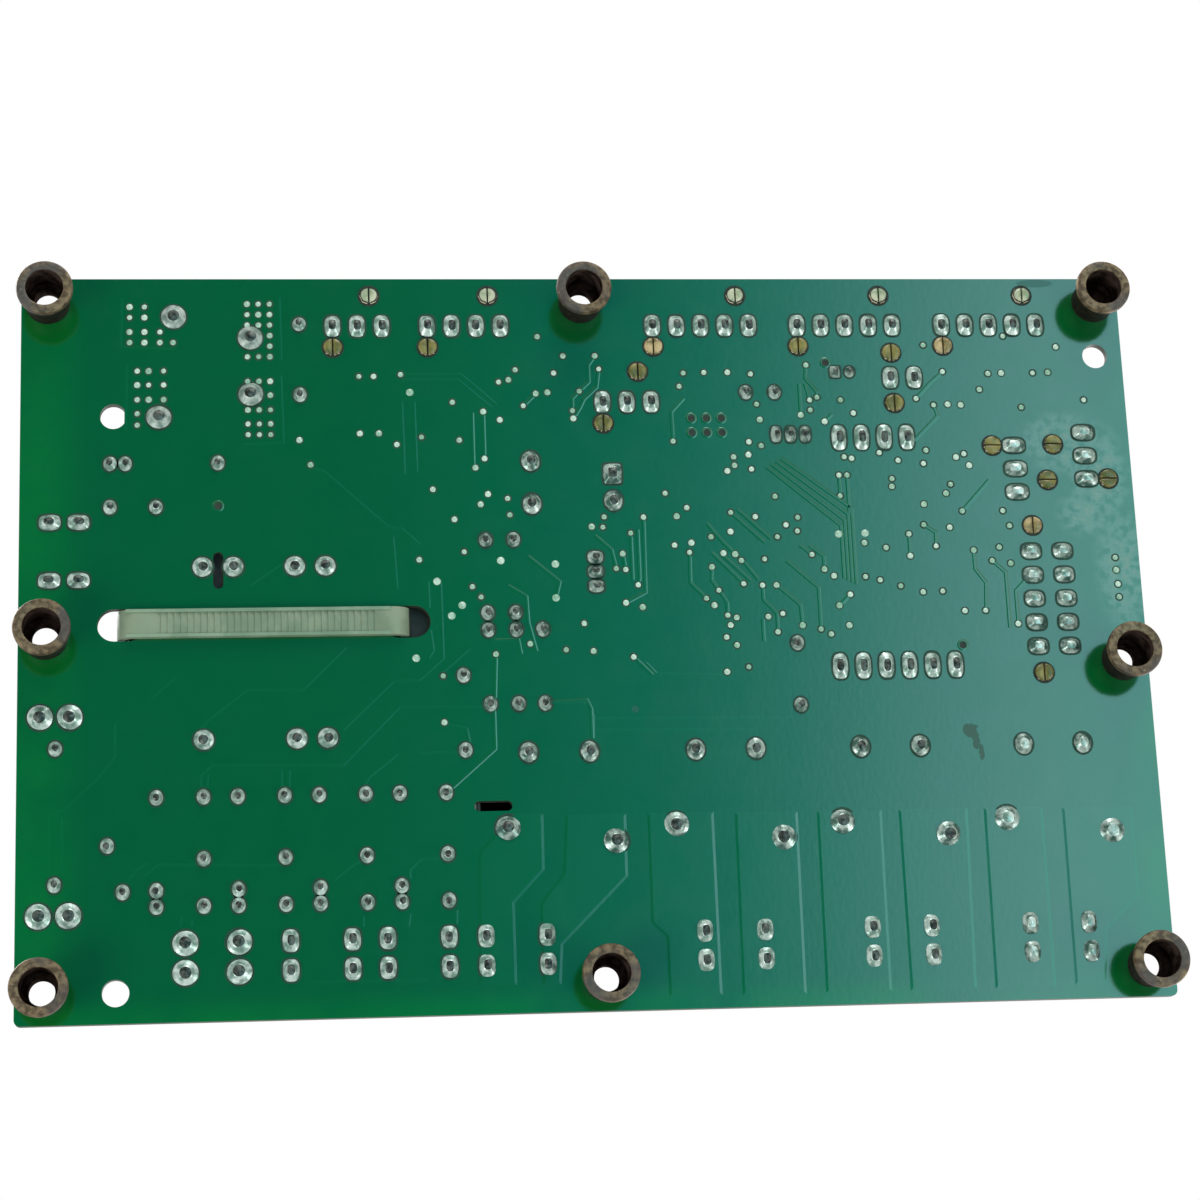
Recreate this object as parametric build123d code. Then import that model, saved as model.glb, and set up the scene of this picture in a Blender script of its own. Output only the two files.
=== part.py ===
from build123d import *
import os
from math import cos, pi, sin, sqrt

os.makedirs("parts", exist_ok=True)

# Oven control board: a populated board standing on eight brass standoffs, solder side down.
# Millimetres. X runs along the board, Y from the connector edge (front) to the terminal edge
# (rear), Z up. The origin is under the board's centre, in the plane of the standoff feet.

# ---------------------------------------------------------------- driving dimensions
BOARD_THICKNESS = 1.6
BOARD_CORNER_RADIUS = 1.0

STANDOFF_HEIGHT = 8.0
STANDOFF_DIAMETER = 9.4           # foot flange
STANDOFF_FLANGE = 1.5             # height of the flange
STANDOFF_WALL = 0.6               # neck's wall round the bore
STANDOFF_BORE = 6.2
STANDOFF_SEAT = 1.2              # metal between the end of the bore and the board
STANDOFF_SCREW_HOLE = 4.3
STANDOFF_SPIGOT_WALL = 0.6       # spigot that is rolled over on the component side
STANDOFF_RIM_WIDTH = 0.9
STANDOFF_RIM_HEIGHT = 0.7
STANDOFF_HOLE_PLAY = 0.05        # spigot to the board's hole, on the radius
STANDOFF_SIDE_INSET = 4.4
STANDOFF_FRONT_INSET = 4.4
STANDOFF_REAR_INSET = 5.2
STANDOFF_RIGHT_SHIFT = 6.2       # the right middle one stands further to the rear

TOOLING_HOLE = 4.4

POWER_RELAY_COUNT = 4
POWER_RELAY_WIDTH = 27.2
POWER_RELAY_LENGTH = 32.0
POWER_RELAY_HEIGHT = 20.2
POWER_RELAY_GAP = 0.7
POWER_RELAY_COIL_SPAN = 10.16
POWER_RELAY_CONTACT_SPAN = 17.8
POWER_RELAY_PIN_INSET = 2.9      # relay's front face to its coil pins
POWER_RELAY_CONTACT_ROWS = (12.6, 15.1)          # coil pins to the left and right contact pins
POWER_RELAY_SLOT = (-11.2, 8.9)  # isolation slot from the coil pins' middle
RELAY_CHAMFER = 0.8

SMALL_RELAY_COUNT = 4
SMALL_RELAY_WIDTH = 10.3
SMALL_RELAY_LENGTH = 20.5
SMALL_RELAY_HEIGHT = 15.6
SMALL_RELAY_GAP = 2.9
SMALL_RELAY_COIL_SPAN = 7.62
SMALL_RELAY_PIN_INSET = 1.3
SMALL_RELAY_CONTACT_ROW = 10.2   # coil pins to the middle contact
SMALL_RELAY_TO_BLADES = 3.9

POWER_RELAYS_FROM_RIGHT = 4.1
RELAY_GROUP_GAP = 3.95
SMALL_RELAYS_FROM_LEFT = 21.15
RELAYS_FROM_FRONT = 80.55

BLADE_WIDTH = 6.35
BLADE_THICKNESS = 0.8
BLADE_HEIGHT = 9.0
BLADE_SHOULDER = 1.6
BLADE_POINT = 1.4
BLADE_SHOULDER_WIDTH = 0.4       # beyond each side of the blade
BLADE_LEG_SPACING = 4.8
BLADE_FROM_RELAY = 0.5
BLADES_FROM_REAR = 7.1

HEADER_PITCH = 4.2
HEADER_BASE_HEIGHT = 4.2
HEADER_FRONT = 3.9               # pin row to the side with the latch wall
HEADER_BACK = 2.9
HEADER_END = 2.6                 # outermost pin to the end of the base
HEADER_WALL = 1.2
HEADER_WALL_HEIGHT = 12.6
HEADER_PIN = 1.1
HEADER_PIN_HEIGHT = 9.0
PEG_DIAMETER = 3.2
PEG_CLEARANCE = 0.3              # on the diameter of the board's hole
PEG_PROUD = 0.5                  # how far a peg stands out of the solder side
PEG_LAND = 0.4                   # base material round a peg
PEG_FRONT_OFFSET = 5.5
PEG_BACK_OFFSET = 3.8
PEG_SIDES = 8
TWO_WAY_PEG_X = 0.4
TWO_WAY_PEG_Y = 4.6

WIDE_PITCH = 3.96
WIDE_BASE_HEIGHT = 3.2
WIDE_FRONT = 3.2
WIDE_BACK = 3.6
WIDE_END = 2.0
WIDE_WALL_HEIGHT = 11.4

POWER_PLUG_WAYS = 5
POWER_PLUG_ROWS = 5.5
POWER_PLUG_HEIGHT = 12.8
POWER_PLUG_EDGE = 2.1            # outer pin row to the side of the housing
POWER_PLUG_CELL = 3.4
POWER_PLUG_DEPTH = 9.6
POWER_PLUG_PEG_X = 0.6
POWER_PLUG_PEG_OFFSET = 4.6      # end pins to the pegs beyond them

CORE_UNIT = 7.6                  # lamination module: a 6 x 5 unit plate with 1 x 3 unit windows
CORE_STACK = 17.0
BOBBIN_WALL = 0.9
BOBBIN_FLANGE = 1.0
BOBBIN_CLEARANCE = 0.2           # bobbin to core, all round
BOBBIN_RAIL_HEIGHT = 4.0
BOBBIN_RAIL_WIDTH = 4.4
BOBBIN_RAIL_LENGTH = 26.0
BOBBIN_LIFT = 0.3
BOBBIN_SPLIT = -0.4              # middle flange, from the bobbin's centre
WINDING_MARGIN = 0.5             # winding below the flange's rim
WINDING_CORNER = 3.5
TRANSFORMER_PIN_ROW = 14.7       # pin row from the transformer's centre
TRANSFORMER_PIN_PITCH = 5.08
TRANSFORMER_SLOT_OFFSET = 0.6    # isolation slot behind the front pin row
TRANSFORMER_FROM_LEFT = 40.35
TRANSFORMER_FROM_FRONT = 65.75

TIE_WIDTH = 4.8
TIE_THICKNESS = 1.2
TIE_CLEARANCE = 0.3
TIE_BEND = 1.7                   # inner radius where the strap turns up into a slot
TIE_FROM_CENTRE = -4.9           # strap's middle line from the transformer's
TIE_TOOTH_PITCH = 1.1
TIE_TOOTH_DEPTH = 0.25
TIE_PLAIN_END = 3.0              # strap without teeth beside each bend
TIE_HEAD_LENGTH = 7.6
TIE_HEAD_WIDTH = 8.0
TIE_HEAD_HEIGHT = 5.2
TIE_HEAD_CHAMFER = 0.8
TIE_HEAD_LIFT = 0.4               # head above the board's top face
TIE_TAIL = 3.5
TIE_SLOT_LENGTH = 7.9
TIE_SLOT_WIDTH = 5.5
TIE_SIDE_PLAY = 0.2              # strap to slot

SLOT_WIDTH = 1.7
SLOT_LENGTH = 6.3

FUSE_DIAMETER = 5.2
FUSE_GLASS_DIAMETER = 4.7
FUSE_LENGTH = 20.0
FUSE_CAP = 5.4
CLIP_THICKNESS = 0.5
CLIP_WIDTH = 5.0
CLIP_HEIGHT = 6.4
CLIP_SLACK = 0.1
CLIP_LIP = 1.0                   # flared end of each arm
FUSE_FROM_LEFT = 6.2
FUSE_FROM_FRONT = 92.75
FUSE_PIN_SPAN = 22.4

SOLDER_HEIGHT = 1.1
OVAL_SIDES = 8
ROUND_SIDES = 6
SOLDER_TOP_SHARE = 0.45          # width of a joint at its tip against its pad
LEAD = 0.7                       # square leads of the small parts

# ---------------------------------------------------------------- levels and outline
SOLDER_FACE = STANDOFF_HEIGHT
TOP_FACE = SOLDER_FACE + BOARD_THICKNESS

POWER_RELAY_PITCH = POWER_RELAY_WIDTH + POWER_RELAY_GAP
SMALL_RELAY_PITCH = SMALL_RELAY_WIDTH + SMALL_RELAY_GAP
POWER_RELAY_ROW = POWER_RELAY_COUNT * POWER_RELAY_PITCH - POWER_RELAY_GAP
SMALL_RELAY_ROW = SMALL_RELAY_COUNT * SMALL_RELAY_PITCH - SMALL_RELAY_GAP
BOARD_LENGTH = (
    SMALL_RELAYS_FROM_LEFT + SMALL_RELAY_ROW + RELAY_GROUP_GAP + POWER_RELAY_ROW + POWER_RELAYS_FROM_RIGHT
)
BOARD_WIDTH = (
    RELAYS_FROM_FRONT + POWER_RELAY_LENGTH + BLADE_FROM_RELAY + BLADE_WIDTH + BLADES_FROM_REAR
)
LEFT = -BOARD_LENGTH / 2
RIGHT = BOARD_LENGTH / 2
FRONT = -BOARD_WIDTH / 2
REAR = BOARD_WIDTH / 2

STANDING = (Align.CENTER, Align.CENTER, Align.MIN)
HANGING = (Align.CENTER, Align.CENTER, Align.MAX)

# ---------------------------------------------------------------- places
STANDOFF_MIDDLE_Y = (FRONT + STANDOFF_FRONT_INSET + REAR - STANDOFF_REAR_INSET) / 2
STANDOFF_PLACES = {
    "standoff_front_left": (LEFT + STANDOFF_SIDE_INSET, FRONT + STANDOFF_FRONT_INSET),
    "standoff_front_middle": (0.0, FRONT + STANDOFF_FRONT_INSET),
    "standoff_front_right": (RIGHT - STANDOFF_SIDE_INSET, FRONT + STANDOFF_FRONT_INSET),
    "standoff_middle_left": (LEFT + STANDOFF_SIDE_INSET, STANDOFF_MIDDLE_Y),
    "standoff_middle_right": (RIGHT - STANDOFF_SIDE_INSET, STANDOFF_MIDDLE_Y + STANDOFF_RIGHT_SHIFT),
    "standoff_rear_left": (LEFT + STANDOFF_SIDE_INSET, REAR - STANDOFF_REAR_INSET),
    "standoff_rear_middle": (0.0, REAR - STANDOFF_REAR_INSET),
    "standoff_rear_right": (RIGHT - STANDOFF_SIDE_INSET, REAR - STANDOFF_REAR_INSET),
}
TOOLING_PLACES = [(LEFT + 15.4, FRONT + 24.6), (RIGHT - 4.75, FRONT + 14.4), (LEFT + 16.0, REAR - 4.9)]

# Pegged headers of one pitch: first pin, ways and the quarter turns of the row
PEGGED_HEADERS = {
    "header_three_way": (LEFT + 52.35, FRONT + 8.6, 3, 0),
    "header_four_way": (LEFT + 68.5, FRONT + 8.6, 4, 0),
    "header_five_way_1": (RIGHT - 82.6, FRONT + 8.6, 5, 0),
    "header_five_way_2": (RIGHT - 57.3, FRONT + 8.6, 5, 0),
    "header_five_way_3": (RIGHT - 31.75, FRONT + 8.6, 5, 0),
    "inner_header_three_way": (RIGHT - 91.8, FRONT + 22.45, 3, 0),
    "side_header_1": (RIGHT - 20.5, FRONT + 30.7, 3, 1),
    "side_header_2": (RIGHT - 8.05, FRONT + 36.85, 3, 3),
}
TWO_WAY_PLACE = (RIGHT - 41.4, FRONT + 18.25)
WIDE_HEADERS = {
    "wide_header_four_way": (RIGHT - 51.1, FRONT + 29.1, 4),
    "wide_header_six_way": (RIGHT - 53.3, FRONT + 69.55, 6),
}
POWER_PLUG_PLACE = (RIGHT - 18.9, FRONT + 49.75)

POWER_RELAY_XS = [
    RIGHT - POWER_RELAYS_FROM_RIGHT - POWER_RELAY_ROW + POWER_RELAY_WIDTH / 2 + i * POWER_RELAY_PITCH
    for i in range(POWER_RELAY_COUNT)
]
SMALL_RELAY_XS = [
    LEFT + SMALL_RELAYS_FROM_LEFT + SMALL_RELAY_WIDTH / 2 + i * SMALL_RELAY_PITCH
    for i in range(SMALL_RELAY_COUNT)
]
POWER_RELAY_FRONT = FRONT + RELAYS_FROM_FRONT
BLADE_ROW_Y = POWER_RELAY_FRONT + POWER_RELAY_LENGTH + BLADE_FROM_RELAY + BLADE_WIDTH / 2
SMALL_RELAY_FRONT = BLADE_ROW_Y - BLADE_WIDTH / 2 - SMALL_RELAY_TO_BLADES - SMALL_RELAY_LENGTH

# Rear blades: the two with the widest pads, then pairs of blades ten millimetres apart
REAR_BIG_BLADES = [LEFT + 27.1, LEFT + 35.7]
BLADE_PAIR = 9.95
REAR_LEFT_BLADES = [
    c + s * BLADE_PAIR / 2
    for c in (LEFT + 48.95, LEFT + 64.6, POWER_RELAY_XS[0] - 8.0)
    for s in (-1, 1)
]
REAR_RIGHT_BLADES = [
    c + s * BLADE_PAIR / 2
    for c in (POWER_RELAY_XS[1], POWER_RELAY_XS[2], POWER_RELAY_XS[3] - 1.3)
    for s in (-1, 1)
]
SIDE_BLADES = [
    (LEFT + 7.4, FRONT + 43.1),
    (LEFT + 7.4, FRONT + 53.1),
    (LEFT + 6.1, FRONT + 76.3),
    (LEFT + 6.1, FRONT + 109.0),
]

TRANSFORMER_X = LEFT + TRANSFORMER_FROM_LEFT
TRANSFORMER_Y = FRONT + TRANSFORMER_FROM_FRONT
FUSE_PLACE = (LEFT + FUSE_FROM_LEFT, FRONT + FUSE_FROM_FRONT)


# ---------------------------------------------------------------- helpers
def box(x, y, z, length, width, height):
    """Block standing on z over (x, y)."""
    return Pos(x, y, z) * Box(length, width, height, align=STANDING)


def upright(x, y, z, diameter, height):
    """Cylinder standing on z over (x, y)."""
    return Pos(x, y, z) * Cylinder(diameter / 2, height, align=STANDING)


def turned(points):
    """Ring or pin with the given half section of radius and height."""
    return revolve(Plane.XZ * make_face(Polyline(points, close=True)), Axis.Z)


def turn(x, y, quarters):
    """Turn a point by quarter turns."""
    for _ in range(quarters):
        x, y = -y, x
    return x, y


def save(name, *solids):
    """Write a node: one solid, or several separate ones."""
    shape = solids[0] if len(solids) == 1 else Compound(children=list(solids))
    shape.label = name
    export_step(shape, f"parts/{name}.step")


# ---------------------------------------------------------------- standoffs
def standoff():
    """Turned brass spacer: foot flange at z = 0, neck with a wide bore, spigot rolled over the board."""
    outer = STANDOFF_DIAMETER / 2
    bore = STANDOFF_BORE / 2
    hole = STANDOFF_SCREW_HOLE / 2
    spigot = hole + STANDOFF_SPIGOT_WALL
    rim = spigot + STANDOFF_RIM_WIDTH
    neck = bore + STANDOFF_WALL
    section = [
        (bore, 0),
        (outer, 0),
        (outer, STANDOFF_FLANGE),
        (neck, STANDOFF_FLANGE),
        (neck, SOLDER_FACE),
        (spigot, SOLDER_FACE),
        (spigot, TOP_FACE),
        (rim, TOP_FACE),
        (hole, TOP_FACE + STANDOFF_RIM_HEIGHT),
        (hole, SOLDER_FACE - STANDOFF_SEAT),
        (bore, SOLDER_FACE - STANDOFF_SEAT),
    ]
    return turned(section)


# ---------------------------------------------------------------- pegged headers
def header_pegs(ways):
    """Peg places of a single-row header: one behind the first pin, one before the last gap."""
    return [(0.0, PEG_BACK_OFFSET), ((ways - 1.5) * HEADER_PITCH, -PEG_FRONT_OFFSET)]


def header_outline(ways, pegs, front, back):
    """Base outline: a rectangle round the pins with a blunt tongue over each peg."""
    outline = make_face(
        Polyline(
            (-HEADER_END, -front),
            ((ways - 1) * HEADER_PITCH + HEADER_END, -front),
            ((ways - 1) * HEADER_PITCH + HEADER_END, back),
            (-HEADER_END, back),
            close=True,
        )
    )
    reach = PEG_DIAMETER / 2 + PEG_LAND
    for x, y in pegs:
        side = 1 if y > 0 else -1
        tip = y + side * reach
        shoulder = y + side * reach / 3
        tongue = make_face(
            Polyline(
                (x - reach, 0),
                (x - reach, shoulder),
                (x - reach / 2, tip),
                (x + reach / 2, tip),
                (x + reach, shoulder),
                (x + reach, 0),
                close=True,
            )
        )
        outline = outline + tongue
    return outline


def peg():
    """Split board peg, eight-sided, hanging from the top face through the board."""
    length = BOARD_THICKNESS + PEG_PROUD
    shape = extrude(RegularPolygon(PEG_DIAMETER / 2, PEG_SIDES), -length)
    slit = Box(PEG_DIAMETER / 6, PEG_DIAMETER, PEG_PROUD, align=HANGING)
    return shape - Pos(0, 0, -BOARD_THICKNESS) * slit


def pegged_header(ways, pegs):
    """Open header: base with tongues and pegs, latch wall, and a row of square pins."""
    base = extrude(header_outline(ways, pegs, HEADER_FRONT, HEADER_BACK), HEADER_BASE_HEIGHT)
    middle = (ways - 1) * HEADER_PITCH / 2
    wall_y = -HEADER_FRONT + HEADER_WALL / 2
    wall_length = (ways - 1) * HEADER_PITCH + 2 * HEADER_END
    body = base + box(middle, wall_y, 0, wall_length, HEADER_WALL, HEADER_WALL_HEIGHT)
    for x, y in pegs:
        body = body + Pos(x, y, 0) * peg()
    return body


def header_pins(ways, pitch, size, height, base_height):
    return [box(i * pitch, 0, base_height, size, size, height) for i in range(ways)]


def wide_header(ways):
    """Header of the wide pitch: plain base with a friction wall behind the pins."""
    length = (ways - 1) * WIDE_PITCH + 2 * WIDE_END
    middle = (ways - 1) * WIDE_PITCH / 2
    depth = WIDE_FRONT + WIDE_BACK
    base = box(middle, (WIDE_BACK - WIDE_FRONT) / 2, 0, length, depth, WIDE_BASE_HEIGHT)
    return base + box(middle, WIDE_BACK - HEADER_WALL / 2, 0, length, HEADER_WALL, WIDE_WALL_HEIGHT)


def power_plug_pegs():
    run = (POWER_PLUG_WAYS - 1) * HEADER_PITCH
    return [(POWER_PLUG_PEG_X, -POWER_PLUG_PEG_OFFSET), (POWER_PLUG_PEG_X, run + POWER_PLUG_PEG_OFFSET)]


def power_plug_body():
    """Shrouded housing of two rows: one square cell for each pin, a peg beyond each end."""
    run = (POWER_PLUG_WAYS - 1) * HEADER_PITCH
    width = POWER_PLUG_ROWS + 2 * POWER_PLUG_EDGE
    body = box(POWER_PLUG_ROWS / 2, run / 2, 0, width, run + 2 * HEADER_END, POWER_PLUG_HEIGHT)
    floor = POWER_PLUG_HEIGHT - POWER_PLUG_DEPTH
    cell = Box(POWER_PLUG_CELL, POWER_PLUG_CELL, POWER_PLUG_DEPTH, align=STANDING)
    for column in (0, POWER_PLUG_ROWS):
        for i in range(POWER_PLUG_WAYS):
            body = body - Pos(column, i * HEADER_PITCH, floor) * cell
    reach = PEG_DIAMETER / 2 + PEG_LAND
    for x, y in power_plug_pegs():
        middle = (y + (0 if y < 0 else run)) / 2
        ear_length = POWER_PLUG_PEG_OFFSET + reach * 2 - HEADER_END
        outward = -1 if y < 0 else 1
        ear_y = y + outward * reach - outward * ear_length / 2
        body = body + box(x, ear_y, 0, 2 * reach, ear_length, HEADER_BASE_HEIGHT)
        body = body + Pos(x, y, 0) * peg()
    return body


def power_plug_pins():
    floor = POWER_PLUG_HEIGHT - POWER_PLUG_DEPTH
    return [
        box(column, i * HEADER_PITCH, floor, HEADER_PIN, HEADER_PIN, HEADER_PIN_HEIGHT)
        for column in (0, POWER_PLUG_ROWS)
        for i in range(POWER_PLUG_WAYS)
    ]


def header_location(x, y, quarters):
    return Pos(x, y, TOP_FACE) * Rot(0, 0, 90 * quarters)


# ---------------------------------------------------------------- board
def peg_places():
    places = []
    for x, y, ways, quarters in PEGGED_HEADERS.values():
        for px, py in header_pegs(ways):
            tx, ty = turn(px, py, quarters)
            places.append((x + tx, y + ty))
    x, y = TWO_WAY_PLACE
    places += [(x + px, y + py) for px, py in two_way_pegs()]
    x, y = POWER_PLUG_PLACE
    places += [(x + px, y + py) for px, py in power_plug_pegs()]
    return places


def two_way_pegs():
    return [(TWO_WAY_PEG_X, -TWO_WAY_PEG_Y), (TWO_WAY_PEG_X, TWO_WAY_PEG_Y)]


def tie_half_span():
    """Half the inner width of the strap's loop: the core's half length and its clearance."""
    return 3 * CORE_UNIT + TIE_CLEARANCE


def tie_slot_places():
    """Slots that clear the strap's inner bend with their full width, on both sides of the core."""
    round_end = TIE_SLOT_WIDTH / 2 - sqrt(TIE_SLOT_WIDTH ** 2 - (TIE_WIDTH + TIE_SIDE_PLAY) ** 2) / 2
    inner = tie_half_span() - TIE_BEND - TIE_SIDE_PLAY - round_end
    offset = inner + TIE_SLOT_LENGTH / 2
    y = TRANSFORMER_Y + TIE_FROM_CENTRE
    return [(TRANSFORMER_X - offset, y), (TRANSFORMER_X + offset, y)]


def circuit_board():
    outline = RectangleRounded(BOARD_LENGTH, BOARD_WIDTH, BOARD_CORNER_RADIUS)
    spigot = STANDOFF_SCREW_HOLE / 2 + STANDOFF_SPIGOT_WALL + STANDOFF_HOLE_PLAY
    for place in STANDOFF_PLACES.values():
        outline = outline - Pos(*place) * Circle(spigot)
    for place in TOOLING_PLACES:
        outline = outline - Pos(*place) * Circle(TOOLING_HOLE / 2)
    for place in peg_places():
        outline = outline - Pos(*place) * RegularPolygon((PEG_DIAMETER + PEG_CLEARANCE) / 2, PEG_SIDES)
    for place in tie_slot_places():
        outline = outline - Pos(*place) * SlotOverall(TIE_SLOT_LENGTH, TIE_SLOT_WIDTH)
    slot_y = TRANSFORMER_Y - TRANSFORMER_PIN_ROW + TRANSFORMER_SLOT_OFFSET
    upright_slot = Pos(TRANSFORMER_X - CORE_UNIT, slot_y)
    outline = outline - upright_slot * SlotOverall(SLOT_LENGTH, SLOT_WIDTH, rotation=90)
    slot_x, slot_y = POWER_RELAY_SLOT
    relay_slot = Pos(POWER_RELAY_XS[0] + slot_x, POWER_RELAY_FRONT + POWER_RELAY_PIN_INSET + slot_y)
    outline = outline - relay_slot * SlotOverall(SLOT_LENGTH, SLOT_WIDTH)
    return Pos(0, 0, SOLDER_FACE) * extrude(outline, BOARD_THICKNESS)


# ---------------------------------------------------------------- transformer and its tie
BOBBIN_REACH = CORE_UNIT - BOBBIN_CLEARANCE       # flange above and below the core
CORE_BOTTOM = TOP_FACE + BOBBIN_LIFT + BOBBIN_REACH
CORE_TOP = CORE_BOTTOM + CORE_STACK
CORE_MIDDLE = CORE_BOTTOM + CORE_STACK / 2
FLANGE_HALF = 2 * CORE_UNIT - BOBBIN_CLEARANCE
FLANGE_HEIGHT = CORE_STACK + 2 * BOBBIN_REACH
BOBBIN_HALF_LENGTH = 1.5 * CORE_UNIT - BOBBIN_CLEARANCE
WINDING_TOP = CORE_TOP + BOBBIN_REACH - WINDING_MARGIN


def transformer_core():
    plate = Rectangle(6 * CORE_UNIT, 5 * CORE_UNIT)
    for side in (-1, 1):
        plate = plate - Pos(side * 1.5 * CORE_UNIT, 0) * Rectangle(CORE_UNIT, 3 * CORE_UNIT)
    return Pos(TRANSFORMER_X, TRANSFORMER_Y, CORE_BOTTOM) * extrude(plate, CORE_STACK)


def along_y(sketch, start, length):
    """Extrude a sketch drawn in X and Z along Y, about the transformer's axis."""
    origin = (TRANSFORMER_X, TRANSFORMER_Y + start, CORE_MIDDLE)
    plane = Plane(origin=origin, x_dir=(-1, 0, 0), z_dir=(0, 1, 0))
    return extrude(plane * sketch, length)


def bobbin_tube(margin):
    """Section of the bobbin's tube, margin outside the centre leg's own clearance."""
    grown = 2 * (BOBBIN_CLEARANCE + margin)
    return Rectangle(2 * CORE_UNIT + grown, CORE_STACK + grown)


def bobbin_flanges():
    """Start of each of the three flanges along the bobbin."""
    return [-BOBBIN_HALF_LENGTH, BOBBIN_SPLIT, BOBBIN_HALF_LENGTH - BOBBIN_FLANGE]


def transformer_bobbin():
    body = along_y(bobbin_tube(BOBBIN_WALL), -BOBBIN_HALF_LENGTH, 2 * BOBBIN_HALF_LENGTH)
    for start in bobbin_flanges():
        body = body + along_y(Rectangle(2 * FLANGE_HALF, FLANGE_HEIGHT), start, BOBBIN_FLANGE)
    body = body - along_y(bobbin_tube(0), -BOBBIN_HALF_LENGTH, 2 * BOBBIN_HALF_LENGTH)
    rail_outer = TRANSFORMER_PIN_ROW + BOBBIN_RAIL_WIDTH / 2
    rail_inner = BOBBIN_HALF_LENGTH - BOBBIN_FLANGE
    for side in (-1, 1):
        middle = side * (rail_outer + rail_inner) / 2
        body = body + box(
            TRANSFORMER_X, TRANSFORMER_Y + middle, TOP_FACE, BOBBIN_RAIL_LENGTH,
            rail_outer - rail_inner, BOBBIN_RAIL_HEIGHT,
        )
    return body


def winding(start, end):
    """Taped coil between two flanges, with rounded corners, round the bobbin's tube."""
    section = RectangleRounded(
        2 * (FLANGE_HALF - WINDING_MARGIN), FLANGE_HEIGHT - 2 * WINDING_MARGIN, WINDING_CORNER
    )
    return along_y(section - bobbin_tube(BOBBIN_WALL), start, end - start)


def tie_inner_loop():
    """Inner outline of the strap in X and height: board, core sides, then in over the coil."""
    half = tie_half_span()
    over = FLANGE_HALF - WINDING_MARGIN + TIE_CLEARANCE
    bottom = SOLDER_FACE
    knee = CORE_TOP + 2 * TIE_CLEARANCE
    top = WINDING_TOP + TIE_CLEARANCE
    right = [(half, bottom), (half, knee), (over, top)]
    left = [(-x, z) for x, z in reversed(right)]
    outline = make_face(Polyline(right + left, close=True))
    return fillet(outline.vertices(), TIE_BEND)


def cable_tie():
    """Strap through both board slots and round the transformer, closed by its head over the right slot."""
    inner = tie_inner_loop()
    outer = offset(inner, TIE_THICKNESS)
    ring = outer - inner
    lowest = SOLDER_FACE - TIE_THICKNESS
    run = tie_half_span() - TIE_BEND - TIE_PLAIN_END
    count = int(2 * run / TIE_TOOTH_PITCH)
    first = -count * TIE_TOOTH_PITCH / 2
    comb = [(first, lowest - 1)]
    for i in range(count):
        x = first + i * TIE_TOOTH_PITCH
        comb.append((x, lowest))
        comb.append((x + TIE_TOOTH_PITCH, lowest + TIE_TOOTH_DEPTH))
    comb.append((first + count * TIE_TOOTH_PITCH, lowest - 1))
    ring = ring - make_face(Polyline(comb, close=True))
    plane = Plane(
        origin=(TRANSFORMER_X, TRANSFORMER_Y + TIE_FROM_CENTRE, 0), x_dir=(1, 0, 0), z_dir=(0, -1, 0)
    )
    strap = extrude(plane * ring, TIE_WIDTH / 2, both=True)
    x = TRANSFORMER_X + tie_half_span()
    y = TRANSFORMER_Y + TIE_FROM_CENTRE
    z = TOP_FACE + TIE_HEAD_LIFT
    head = box(x + TIE_HEAD_HEIGHT / 2, y, z, TIE_HEAD_HEIGHT, TIE_HEAD_WIDTH, TIE_HEAD_LENGTH)
    head = chamfer(head.edges().group_by(Axis.X)[-1], TIE_HEAD_CHAMFER)
    tail_x = x + TIE_HEAD_HEIGHT / 2 + TIE_THICKNESS / 2
    tail = box(tail_x, y, z + TIE_HEAD_LENGTH, TIE_THICKNESS, TIE_WIDTH, TIE_TAIL)
    return strap + head + tail


# ---------------------------------------------------------------- relays
def relay(width, length, height):
    """Sealed relay case with broken edges, its front face at y = 0."""
    case = Box(width, length, height, align=(Align.CENTER, Align.MIN, Align.MIN))
    upright_edges = case.edges().filter_by(Axis.Z)
    top_edges = case.edges().group_by(Axis.Z)[-1]
    return chamfer(upright_edges + top_edges, RELAY_CHAMFER)


# ---------------------------------------------------------------- blade terminals
def blade():
    """Flat blade with a shoulder on the board and a pointed end, standing across X."""
    half = BLADE_WIDTH / 2
    shoulder = half + BLADE_SHOULDER_WIDTH
    outline = Polyline(
        (-shoulder, 0),
        (shoulder, 0),
        (shoulder, BLADE_SHOULDER),
        (half, BLADE_SHOULDER),
        (half, BLADE_HEIGHT - BLADE_POINT),
        (half - BLADE_POINT, BLADE_HEIGHT),
        (BLADE_POINT - half, BLADE_HEIGHT),
        (-half, BLADE_HEIGHT - BLADE_POINT),
        (-half, BLADE_SHOULDER),
        (-shoulder, BLADE_SHOULDER),
        close=True,
    )
    return extrude(Plane.YZ * make_face(outline), BLADE_THICKNESS / 2, both=True)


# ---------------------------------------------------------------- fuse
def fuse():
    """Glass fuse lying along Y between two metal caps."""
    cap = FUSE_DIAMETER / 2
    glass = FUSE_GLASS_DIAMETER / 2
    half = FUSE_LENGTH / 2
    inner = half - FUSE_CAP
    section = [(0, -half), (cap, -half), (cap, -inner), (glass, -inner), (glass, inner), (cap, inner)]
    section += [(cap, half), (0, half)]
    z = TOP_FACE + CLIP_THICKNESS + CLIP_SLACK / 2 + cap
    return Pos(*FUSE_PLACE, z) * Rot(90, 0, 0) * turned(section)


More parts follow.
